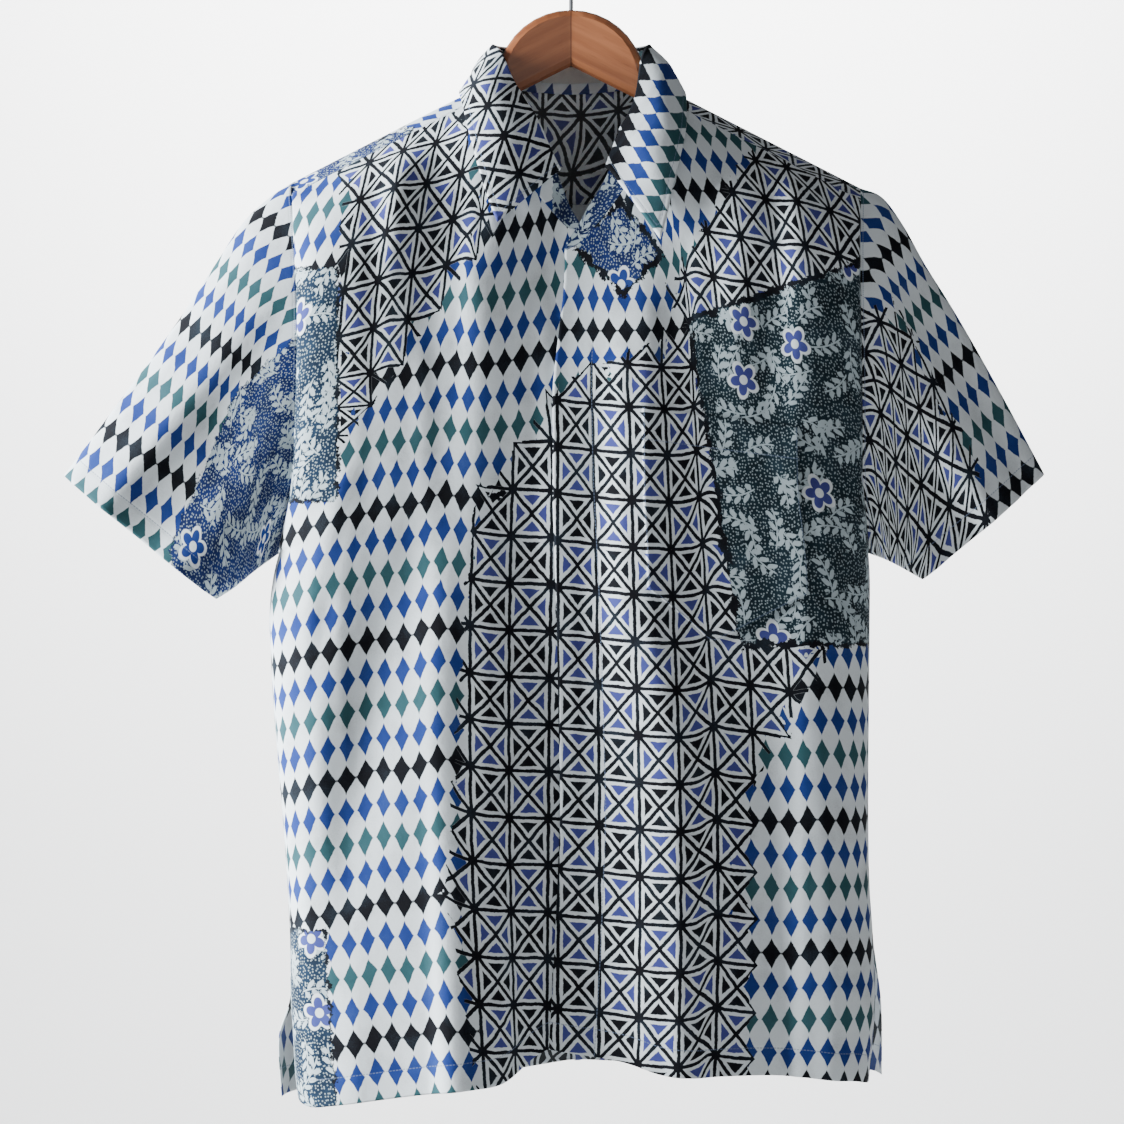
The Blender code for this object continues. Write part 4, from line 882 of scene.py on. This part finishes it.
def star_grid(tree, wobble, star, edge):
    """Square lattice with both diagonals: dark lines and knots, white rims, filled triangles.

    A place's distance from the nearest line decides: line, then white rim, then the fill,
    which is violet in every other cell. Beside the colour, how far the lattice goes: whole
    triangles whose middle is in the zone, and lines a little further.
    """
    a, b, _, _ = read(tree, "star")
    a, b = a + wobble[0] * 0.075, b + wobble[1] * 0.065
    rise_a, rise_b, _, _ = read(tree, "slope")
    off_a, off_b = a.within(0.5), b.within(0.5)
    x, y = abs(off_a), abs(off_b)
    wide = x.do("GREATER_THAN", y)
    middle_a = off_a.do("SIGN") * wide * 0.33
    middle_b = off_b.do("SIGN") * (wide * -1.0 + 1.0) * 0.33
    whole = star + edge - rise_a * (off_a - middle_a) - rise_b * (off_b - middle_b)
    sides = (x * -1.0 + 0.5) * 31.0
    ends = (y * -1.0 + 0.5) * 35.0
    slants = abs(x - y) * 23.2
    near = sides.do("MINIMUM", ends).do("MINIMUM", slants)
    knot = ((sides * sides) + (ends * ends)).do("SQRT")
    near = near.do("MINIMUM", knot - 2.4) + wobble[2] * 1.0
    line, rim = near.step(1.55, 1.15), near.step(4.1, 3.6)
    parity = (a.cell() + b.cell()) % 2.0
    fill = dye(tree, parity.do("LESS_THAN", 0.5), VIOLET, BLACK)
    reach = whole.do("GREATER_THAN", 0.0)
    reach = reach.do("MAXIMUM", line * (star + edge * 1.6).do("GREATER_THAN", -7.0))
    return dye(tree, line, dye(tree, rim, fill, WHITE), BLACK), reach


def sprig(tree, colour, s, t, fullness):
    """Plain pointed leaves on both sides of a stem that runs where t is 0, s mm along it.

    A leaf is 7 mm long and half as wide as 4 (t / 7) (1 - t / 7) 0.34 of the 8 mm between two.
    """
    side = t.do("GREATER_THAN", 0.0)
    t = abs(t)
    tooth = abs(((s - t * 0.7 + side * 4.0) / 8.0).within(0.5))
    along = t / 7.0
    leaf = (tooth - along * (along * -1.0 + 1.0) * 1.36).step(0.03, -0.03)
    stem = t.step(0.8, 0.4) * fullness.step(0.02, 0.12)
    return dye(tree, (leaf * fullness.step(0.2, 0.3)).do("MAXIMUM", stem), colour, PALE_LEAF)


def leafy_ground(tree, at, wobble):
    """Dark ground with fine pale dots, scattered leafy sprigs and five-petalled blossoms."""
    blue, _, _, _ = read(tree, "hue")
    ground = dye(tree, blue, GROUND, GROUND_BLUE)
    ground = dye(tree, (wobble[0] + 0.5).step(0.35, 0.75) * 0.45, ground, BLACK)
    _, _, _, dot = scattered(tree, at, 2.7, 0.8)
    colour = dye(tree, dot.step(0.30, 0.18) * 0.6, ground, PALE_LEAF)
    for pitch, bend in ((33.0, 0.012), (37.0, -0.010)):
        x, y, chance, _ = scattered(tree, at, pitch, 0.8)
        turn = chance * 6.283
        cos, sin = turn.do("COSINE"), turn.do("SINE")
        s, t = x * cos + y * sin, y * cos - x * sin
        colour = sprig(tree, colour, s, t + s * s * bend,
                       s.step(pitch * 0.5, pitch * 0.1) * s.step(-pitch * 0.5, 0.0))
    x, y, chance, _ = scattered(tree, at, 56.0, 0.6)
    away = (x * x + y * y).do("SQRT")
    edge = abs((y.do("ARCTAN2", x) * 2.5 + chance * 9.0).do("SINE")) * 6.0 + 9.0
    blossom = dye(tree, (away - edge + 3.0).step(0.4, -0.4), WHITE,
                  dye(tree, blue, VIOLET, BLUE))
    blossom = dye(tree, away.step(4.0, 3.4), blossom, WHITE)
    there = (away - edge).step(0.4, -0.4) * chance.do("GREATER_THAN", 0.5)
    return dye(tree, there, colour, blossom)


def batik(tree, at):
    """The whole print: lozenges, over them the star lattice, over both the leafy patches."""
    wobble = [noise(tree, at, 0.075, 2), noise(tree, at, 0.09, 2), noise(tree, at, 0.45, 3, 0.6)]
    star, leaves, _, _ = read(tree, "zones")
    _, _, outline, _ = read(tree, "hue")
    edge = noise(tree, at, 0.10, 2) * 9.0
    stars, reach = star_grid(tree, wobble, star, edge)
    colour = dye(tree, reach, lozenges(tree, wobble), stars)
    rough = edge + wobble[2] * 9.0
    colour = dye(tree, (leaves + rough).step(-0.4, 0.4), colour, leafy_ground(tree, at, wobble))
    width = ((wobble[0] + 0.5).step(0.3, 0.75) * 5.0 + outline * 1.6 - 0.8) * outline
    return dye(tree, (abs(leaves + rough * 0.9) - width).step(0.3, -0.5), colour, BLACK)


def stitches(tree, colour, lift):
    """Rows of sewing: short threads along named distances from the edges, in a slight groove."""
    hem, front, seam, _ = read(tree, "sewing")
    along_u, along_v, _, _ = read(tree, "cloth")
    total = None
    for distance, run in ((hem, along_u), (front, along_v), (seam, along_u + along_v)):
        dash = abs((run / 2.6).within(0.5)).step(0.40, 0.34)
        thread = abs(distance).step(0.55, 0.30) * dash
        groove = abs(distance).step(2.6, 0.4)
        colour = dye(tree, thread * 0.55, colour, THREAD)
        part = thread * 0.25 - groove * 0.5
        total = part if total is None else total + part
    return colour, lift + total


def object_place(tree):
    """x, y and z in the object itself, and the socket."""
    return parted(tree, add_node(tree, "TexCoord").outputs["Object"])


def joined(tree, *parts):
    return add_node(tree, "CombineXYZ", enumerate(parts)).outputs[0]


def finish_surface(tree, colour, rough, height, distance, rest=()):
    """Colour, roughness, fine relief and the rest into the material's one shader."""
    bump = add_node(tree, "Bump", (("Strength", 0.5), ("Distance", distance), ("Height", height)))
    fill(tree.nodes["Principled BSDF"], (("Base Color", colour), ("Roughness", rough),
                                         ("Normal", bump.outputs["Normal"]), *rest))


def wood_material():
    """Varnished wood: grain along each arm, pores, and painted shade that makes the right half
    darker than the left.
    """
    made, tree = new_material("varnished_wood")
    x, y, z, _ = object_place(tree)
    sag = z + abs(x) * 0.52
    bands = noise(tree, joined(tree, x * 14.0, y * 60.0, sag * 150.0), 1.0, 4, 0.6)
    pores = noise(tree, joined(tree, x * 60.0, y * 900.0, sag * 900.0), 1.0, 2, 0.5)
    rings = ((sag * 520.0 + bands * 9.0).do("SINE") * 0.5 + 0.5) * 0.5
    colour = dye(tree, rings + bands * 0.6, srgb(190, 118, 76), srgb(150, 84, 50))
    colour = dye(tree, pores.step(0.12, 0.3) * 0.35, colour, srgb(92, 48, 28))
    # painted shade: the wearer's right half (x below 0) is darkened, as that half faces away from
    # the window light
    colour = dye(tree, x.step(0.004, -0.004) * 0.42, colour, srgb(120, 66, 40))
    # painted shade: a thin dark line down the middle crease, where the two halves meet at an angle
    colour = dye(tree, abs(x).step(0.0008, 0.0002) * 0.6, colour, srgb(70, 36, 22))
    finish_surface(tree, colour, bands * 0.2 + 0.34, bands * 0.3 - pores * 0.5, 0.0003,
                   (("Coat Weight", 0.35), ("Coat Roughness", 0.2)))
    return made


def wire_material():
    """Drawn steel wire: fine lines along it, duller patches."""
    made, tree = new_material("drawn_wire")
    x, y, z, at = object_place(tree)
    lines = noise(tree, joined(tree, x * 900.0, y * 900.0, z * 90.0), 1.0, 3, 0.6)
    patch = noise(tree, at, 60.0, 3, 0.6)
    colour = dye(tree, patch + 0.5, srgb(120, 122, 126), srgb(166, 168, 172))
    finish_surface(tree, colour, patch * 0.3 + 0.34, lines, 0.0001, (("Metallic", 1.0),))
    return made


def tape_material():
    """Plain woven tape: fine ribs both ways, slightly uneven white."""
    made, tree = new_material("woven_tape")
    u, v, _, at = read(tree, "cloth")
    ribs = (u * 9.0).do("SINE") * 0.4 + (v * 11.0).do("SINE") * 0.6
    cloud = noise(tree, at, 0.2, 3)
    colour = dye(tree, cloud + 0.5, srgb(206, 208, 206), srgb(228, 230, 228))
    colour = dye(tree, (ribs * 0.5 + 0.5) * 0.2, colour, srgb(176, 178, 176))
    finish_surface(tree, colour, 0.8, ribs, 0.0003)
    return made


def cloth_material(name, wash):
    """Printed cotton; wash is how far the print is paler, as it is on the inside."""
    made, tree = new_material(name)
    _, _, _, at = read(tree, "cloth")
    colour = batik(tree, at)
    blotch, grain = noise(tree, at, 0.035, 3), noise(tree, at, 0.8, 3, 0.7)
    colour = dye(tree, (blotch + grain * 0.5).step(-0.1, 0.5) * 0.12, colour, srgb(120, 150, 175))
    colour = dye(tree, (blotch - grain * 0.4).step(0.05, -0.45) * 0.35, colour, BLACK)
    colour = dye(tree, wash, colour, srgb(205, 210, 212))
    weave = noise(tree, at, 2.2, 2, 0.6) * 0.35 + noise(tree, at, 0.25, 2) * 0.6
    colour, height = stitches(tree, colour, weave)
    finish_surface(tree, colour, 0.82, height, 0.0006, (
        ("Sheen Weight", 0.04), ("Sheen Roughness", 0.45), ("Specular IOR Level", 0.12)))
    return made


# --- where the print goes -------------------------------------------------------------------

VIEW = (-7.0, -486.6, 2400.0)        # zones and starts below are as seen from this far in front
SEEN_WIDTH = 0.8655                  # metres across the frame at the hook's distance
LOZENGE = (15.0, 25.0)
STAR = (31.6, 35.4)
CHEST_LEAVES = ((90, -300), (240, -250), (240, -550), (130, -550), (110, -420))
SIDE_LEAVES = ((-220, -260), (-180, -260), (-180, -440), (-220, -440))
HEM_LEAVES = ((-230, -770), (-190, -770), (-180, -920), (-230, -920))
NECK_LEAVES = ((0, -240), (40, -210), (70, -250), (40, -280))
CENTRE_STARS = ((0, -350), (100, -310), (130, -440), (150, -540), (190, -560), (130, -660),
                (130, -920), (-60, -920), (-90, -740), (-70, -450))
RIGHT_STARS = ((-210, -130), (-100, -130), (-60, -220), (-110, -290), (-180, -390),
               (-170, -190))
LEFT_STARS = ((130, -190), (160, -150), (250, -170), (230, -260), (100, -310), (80, -280))
SLEEVE_LEAVES = ((-210, -310), (-260, -360), (-310, -480), (-290, -550), (-210, -550))
SLEEVE_STARS = ((210, -290), (250, -300), (310, -420), (320, -480), (270, -550), (210, -520))
YOKE_LEAVES = ((-220, -190), (-120, -150), (-160, -200), (-210, -230))
YOKE_STARS = ((120, -120), (225, -180), (225, -250), (60, -236), (-40, -240), (-110, -250),
              (-80, -170), (-66, -115), (66, -115))
BACK_STARS = ((-240, -230), (-60, -230), (-20, -330), (40, -420), (120, -470), (245, -500),
              (245, -640), (150, -610), (60, -560), (-30, -500), (-120, -430), (-240, -400))
BACK_LOW_STARS = ((-110, -920), (-130, -800), (-60, -700), (30, -740), (80, -830), (70, -920))
BACK_LEAVES = ((-240, -470), (-150, -480), (-110, -560), (-120, -650), (-170, -700), (-240, -690))
BACK_HIGH_LEAVES = ((90, -225), (245, -225), (245, -380), (190, -400), (130, -360), (100, -300))

# On the wearer's left leaf: a lozenge, the step to the next of its colour, to the next row
LEAF_LOZENGES = ((67.1, -134.4), (-3.8, -12.8), (17.7, -12.1))
LEAF_STAR = ((-50.9, -159.2), -2)    # a knot on the wearer's right leaf, turn in degrees

# name: rows of lozenges above and below, or one for both (rise of the rows, lean, x and z of a
# lozenge of the first colour), rows of stars alike (x and z of a knot), the heights between
# which above passes to below, star zones, leaf zones
LAYOUT = {
    "front_right": (((0.2, 0, -83, -437),), ((0.21, 0.08, -111, -194), (-0.05, 0, -46, -430)),
                    (-330, -420), (RIGHT_STARS, CENTRE_STARS), (SIDE_LEAVES, HEM_LEAVES)),
    "front_left": (((-0.02, 0, 30, -308), (0.03, 0, 152, -686)),
                   ((-0.12, -0.12, 150, -206), (-0.08, 0, 18, -436)), (-300, -380),
                   (LEFT_STARS, CENTRE_STARS), (CHEST_LEAVES, NECK_LEAVES)),
    "fly_strip": (((0, 0, 0, -686),), ((0, 0, 0, -440),), (-300, -380), (CENTRE_STARS,), ()),
    "yoke": (((0.3, 0, -90, -139),), ((0, 0, 150, -170), (0, 0, 0, -190)), (-150, -200),
             (YOKE_STARS,), (YOKE_LEAVES,)),
    "back": (((0.16, 0, 0, -400),), ((-0.1, 0, 0, -300),), (-300, -380),
             (BACK_STARS, BACK_LOW_STARS), (BACK_LEAVES, BACK_HIGH_LEAVES)),
    "sleeve_right": (((-0.07, -0.17, -325, -285),), ((0, 0, -300, -400),), (-300, -380), (),
                     (SLEEVE_LEAVES,)),
    "sleeve_left": (((0, 0, 300, -330),), ((0.3, 0, 262, -345),), (-300, -380),
                    (SLEEVE_STARS,), ()),
}
BLUE_GROUND = {"sleeve_right": 1.0, "yoke": 1.0, "front_right": 0.2, "collar_stand": 0.8}
BLUE_BEFORE_X = 70                   # of the wearer's left front, which has both grounds
DARK_EDGE = {"sleeve_right": 0.15, "yoke": 0.4, "front_right": 0.5, "back": 0.9,
             "front_left": 0.8}
FAR = 99.0                           # a distance that nothing of the print or sewing reaches


def seen(grid):
    """x and z of each point as seen from in front, on the plane of the hook."""
    scale = VIEW[2] / (VIEW[2] + grid[..., 1])
    return np.stack([VIEW[0] + (grid[..., 0] - VIEW[0]) * scale,
                     VIEW[1] + (grid[..., 2] - VIEW[1]) * scale], axis=-1)


def inside_by(corners, at):
    """How far each place is inside an outline: distance to its nearest side, negative outside."""
    first = np.array(corners, float)
    second = np.roll(first, -1, axis=0)
    best, crossed = np.full(at.shape[:-1], 1e9), np.zeros(at.shape[:-1], bool)
    for p, q in zip(first, second):
        side = q - p
        t = np.clip(((at - p) @ side) / (side @ side), 0, 1)
        best = np.minimum(best, np.linalg.norm(at - p - t[..., None] * side, axis=-1))
        spans = (p[1] > at[..., 1]) != (q[1] > at[..., 1])
        rise = side[1] if side[1] else 1e-9
        crossed ^= spans & (at[..., 0] < p[0] + (at[..., 1] - p[1]) * side[0] / rise)
    return np.where(crossed, best, -best)


def nearest(at, place):
    return np.unravel_index(np.argmin(((at - np.array(place)) ** 2).sum(-1)), at.shape[:-1])


def lattice(at, u, v, pitch, rows, heights, period):
    """Places on a repeat in steps of its pitch, sheared by its rows' rise and its columns' lean.

    Above and below the two heights it follows two different starts, and between them it
    passes from one to the other.
    """
    found = []
    for rise, lean, *start in rows:
        steps = np.stack([(u + lean * v) / pitch[0], (v - rise * u) / pitch[1]], axis=-1)
        found.append(steps - steps[nearest(at, start)])
    gap = found[0] - found[-1]
    middle = np.unravel_index(np.argmin(np.abs(at[..., 1] - heights[0]) + np.abs(at[..., 0])),
                              u.shape)
    gap = gap - np.round(gap[middle] / period) * period
    return found[-1] + gap * (1 - smooth(*heights, at[..., 1]))[..., None]


def print_maps(node, grid, u, v, sewing, seed):
    """Everything the print needs at each point of a piece, as named values."""
    far = np.full(u.shape, -FAR)
    at, place = seen(grid), np.stack([u, v], axis=-1)
    if node == "collar_leaf":
        lozenge = (at - np.array(LEAF_LOZENGES[0])) @ np.linalg.inv(LEAF_LOZENGES[1:]) + (0, 1)
        from_u, from_v = np.moveaxis(place - place[nearest(at, LEAF_STAR[0])], -1, 0)
        turn = math.radians(LEAF_STAR[1])
        star = np.stack([from_u * math.cos(turn) - from_v * math.sin(turn),
                         from_v * math.cos(turn) + from_u * math.sin(turn)], axis=-1) / STAR
        zones = np.where(grid[..., 0] > 0, grid[..., 1] - 12, 40), far
    elif node in ("collar_stand", "neck_label"):
        lozenge, star = place / LOZENGE - (0, 1.1), place / STAR
        front = np.where(grid[..., 1] < -10, 20.0, -20.0)
        zones = far, np.where(grid[..., 0] > -14, front, -20)
    else:
        lozenge_rows, star_rows, heights, *outlines = LAYOUT[node]
        lozenge = lattice(at, u, v, LOZENGE, lozenge_rows, heights, (1, 4))
        star = lattice(at, u, v, STAR, star_rows, heights, (1, 1))
        zones = [np.max([inside_by(o, at) for o in some] or [far], axis=0) for some in outlines]
    (down, across), (a_v, a_u), (b_v, b_u) = (
        np.gradient(values) for values in (zones[0], star[..., 0], star[..., 1]))
    turn = a_u * b_v - a_v * b_u
    turn = np.where(np.abs(turn) < 1e-6, 1e-6, turn)
    slope = np.stack([across * b_v - down * b_u, down * a_u - across * a_v], axis=-1)
    hue = np.zeros((*u.shape, 3))
    hue[..., 0] = at[..., 0] < BLUE_BEFORE_X if node == "front_left" else BLUE_GROUND.get(node, 0)
    hue[..., 1] = node == "collar_leaf"
    hue[..., 2] = DARK_EDGE.get(node, 0)
    return {"cloth": place + (1300.0 * seed, 0), "lozenge": lozenge, "star": star,
            "slope": np.clip(slope / turn[..., None], -60, 60), "zones": np.stack(zones, axis=-1),
            "hue": hue, "sewing": sewing}


# --- the shirt ------------------------------------------------------------------------------

def sewing_lines(node, grid, u, v):
    """Distances from the rows of sewing: along the hem, along the front, beside the seams."""
    far, z = np.full(u.shape, FAR), grid[..., 2]
    up, down = np.abs(v - v[-1:]), np.abs(v - v[:1])
    from_end, from_start = np.abs(u - u[:, -1:]), np.abs(u - u[:, :1])
    around = np.minimum(np.minimum(from_start, from_end), up)
    down_front = {edge: np.where(z < FRONT_SEWN_Z, from_end - edge, FAR)
                  for edge in (UNDERLAP_SEWN, FLY_WIDTH)}
    over_neck = np.where(np.abs(grid[..., 0]) > NECK_HALF, down, FAR)
    slits = {side: np.where(z < SLIT_TOP_Z[side], from_start - SLIT_SEWN, FAR) for side in (-1, 1)}
    found = {
        "front_right": (up - HEM_SEWN, down_front[UNDERLAP_SEWN], slits[-1]),
        "front_left": (up - HEM_SEWN, down_front[FLY_WIDTH], slits[1]),
        "back": (up - HEM_SEWN, far, far),
        "sleeve_right": (up - SLEEVE_HEM_SEWN, far, down - SEAM_SEWN),
        "sleeve_left": (up - SLEEVE_HEM_SEWN, far, down - SEAM_SEWN),
        "yoke": (far, far, np.minimum(up, over_neck) - SEAM_SEWN),
        "collar_leaf": (far, far, around - LEAF_SEWN),
        "chest_pocket": (down - POCKET_MOUTH_SEWN, far, around - POCKET_SEWN),
    }
    return np.stack(found.get(node, (far, far, far)), axis=-1)


def matched(pocket, front, maps):
    """The front's print carried on over the pocket, whose columns are the front's own."""
    first, rows = POCKET_CELLS[0] * FRONT_FINER[1], slice(None, None, -1)
    columns = range(pocket.shape[1])
    return {key: np.stack([np.stack([
        np.interp(pocket[:, j, 2], front[rows, first + j, 2], values[rows, first + j, c])
        for c in range(values.shape[-1])], axis=-1) for j in columns], axis=1)
        for key, values in maps.items()}


def cloth_places(node, grid, closed):
    """u and v of each point for the print, counted from each piece's own place."""
    u, v = lengths(closed_up(grid, closed), 1)[:, :grid.shape[1]], lengths(grid, 0)
    if node in ("front_left", "fly_strip"):
        u = -(u - u[:, -1:]) + grid[:, -1:, 0]
    elif node == "front_right":
        u = (u - u[:, -1:]) + grid[:, -1:, 0]
    elif node in ("yoke", "back"):
        middle = u.shape[1] // 2
        u = u - u[:, middle:middle + 1]
    elif closed:
        top = int(np.argmax(grid[0, :, 2]))
        u = u - u[:, top:top + 1]
    if node in ("collar_leaf", "neck_label"):
        v = -lengths(grid, 0)
    elif node == "collar_stand":
        v = lengths(grid, 0, -1)
    else:
        v = -(v - v[-1:]) if closed else grid[:1, :, 2] - v
    return u, v


def shirt_nets():
    """The rows of the pieces and the angles of the sleeves' rings.

    A row: node, net, finer rows and columns for each cell, side that faces out, its creases,
    edges where the creases fade, edges that go under a neighbour.
    """
    yoke, fronts = yoke_net(), {-1: front_net(-1), 1: front_net(1)}
    back = back_net(yoke)
    rings = {s: ring_angles(s, fronts[s], yoke, back) for s in (-1, 1)}
    sleeves = {s: sleeve_net(s, rings[s]) for s in (-1, 1)}
    fronts[-1] = sunk_underlap(fronts[-1])
    stand = stand_net(fronts[-1], yoke, fronts[1])
    top, start, around = ("top",), ("top", "start"), ("top", "start", "end")
    return rings, (
        ("yoke", yoke, (6, 5), -1, (), (), ()),
        ("front_right", fronts[-1], FRONT_FINER, 1, FRONT_CREASES, start, top),
        ("front_left", fronts[1], FRONT_FINER, -1, FRONT_CREASES, start, top),
        ("back", back, (12, 4), -1, BACK_CREASES, around, around),
        ("sleeve_right", sleeves[-1], (10, 4), -1, (), (), ()),
        ("sleeve_left", sleeves[1], (10, 4), 1, (), (), ()),
        ("collar_stand", stand, (10, 5), -1, (), (), ()),
        ("collar_leaf", leaf_net(stand), (6, 5), -1, (), (), ()),
        ("chest_pocket", pocket_net(fronts[1]), FRONT_FINER, -1, FRONT_CREASES, (), ()),
        ("fly_strip", fly_net(fronts[1]), (6, 3), -1, FRONT_CREASES, (), ()),
        ("neck_label", label_net(stand), (4, 3), -1, (), (), ()),
    )


def build_shirt(print_skin, inside_skin, tape_skin):
    rings, pieces = shirt_nets()
    for seed, (node, net, finer, sign, creases, sewn, edges) in enumerate(pieces):
        closed, side = node.startswith("sleeve"), -1 if node.endswith("right") else 1
        grid = refined(net, *finer, closed)
        if closed:
            grid = sleeve_creased(grid, side, rings[side], sign)
        elif creases:
            grid = with_creases(grid, creases, sign, sewn)
        u, v = cloth_places(node, grid, closed)
        sewing = sewing_lines(node, grid, u, v)
        if node == "chest_pocket":
            maps = {**matched(grid, front_grid, front_maps), "sewing": sewing}
        else:
            maps = print_maps(node, grid, u, v, sewing, seed)
        if node == "front_left":
            front_grid, front_maps = grid, maps
        grid = tucked(grid, sign, edges)
        pad = np.array((("top" in edges, 0), ("start" in edges, "end" in edges), (0, 0)), int)
        maps = {key: np.pad(value, pad, mode="edge") for key, value in maps.items()}
        thick = COLLAR_SHELL if node.startswith("collar") else SHELL
        worn = (tape_skin,) if node == "neck_label" else (print_skin, inside_skin)
        dressed(cloth_piece(node + "_cloth", grid, sign, thick, closed, maps, worn),
                node)


def backdrop():
    """A plain pale wall behind the shirt, which rounds into the floor under it."""
    wall, tree = new_material("pale_wall")
    fill(tree.nodes["Principled BSDF"], (("Base Color", (0.93, 0.93, 0.93)), ("Roughness", 0.95)))
    near, far, floor, top, radius = -3.6, 5.0, -2.9, 1.3, 0.8
    bend = np.linspace(0, math.pi / 2, 13)
    y = np.concatenate([[near], far - radius + radius * np.sin(bend), [far]])
    z = np.concatenate([[floor], floor + radius * (1 - np.cos(bend)), [top]])
    line = np.stack([y, z], axis=-1)
    points = [(x, *p) for x in (-3.2, 3.2) for p in line]
    n = len(line)
    faces = [(i, n + i, n + i + 1, i + 1) for i in range(n - 1)]
    mesh = bpy.data.meshes.new("backdrop")
    mesh.from_pydata(points, [], faces)
    mesh.shade_smooth()
    mesh.materials.append(wall)
    linked("backdrop", mesh)


def lamp(name, energy, size, place, target, colour=(1, 1, 1)):
    data = bpy.data.lights.new(name, "AREA")
    data.shape = "RECTANGLE"
    data.size, data.size_y = size
    data.energy, data.color = energy, colour
    thing = linked(name, data)
    thing.location = place
    toward = Vector(target) - Vector(place)
    thing.rotation_euler = toward.to_track_quat("-Z", "Y").to_euler()


def main():
    cloth = cloth_material("batik_print", 0.0)
    inside = cloth_material("batik_inside", 0.08)
    build_shirt(cloth, inside, tape_material())
    for node, skin in (("hanger_wood", wood_material()), ("hanger_hook", wire_material())):
        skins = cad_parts[node].data.materials
        skins.clear()
        skins.append(skin)
    backdrop()
    camera = linked("camera", bpy.data.cameras.new("camera"))
    camera.location = (VIEW[0] * MM, -VIEW[2] * MM, VIEW[1] * MM)
    camera.rotation_euler = (math.pi / 2, 0, 0)
    camera.data.sensor_width = 36
    camera.data.lens = 36 * VIEW[2] * MM / SEEN_WIDTH
    bpy.context.scene.camera = camera
    lamp("window_light", 350, (0.7, 1.4), (-2.4, -0.26, 0.0), (0, 0, -0.45), (0.9, 0.96, 1.0))
    lamp("front_fill", 9, (2.4, 2.4), (0.6, -3.2, -0.2), (0, 0, -0.5), (1.0, 0.98, 0.95))
    lamp("wall_light", 640, (3.0, 1.0), (0, 2.8, 1.9), (0, 5.0, -0.6))
    world = bpy.data.worlds.new("room")
    world.use_nodes = True
    fill(world.node_tree.nodes["Background"], (("Color", (0.93, 0.96, 1.0)), ("Strength", 0.19)))
    bpy.context.scene.world = world


main()
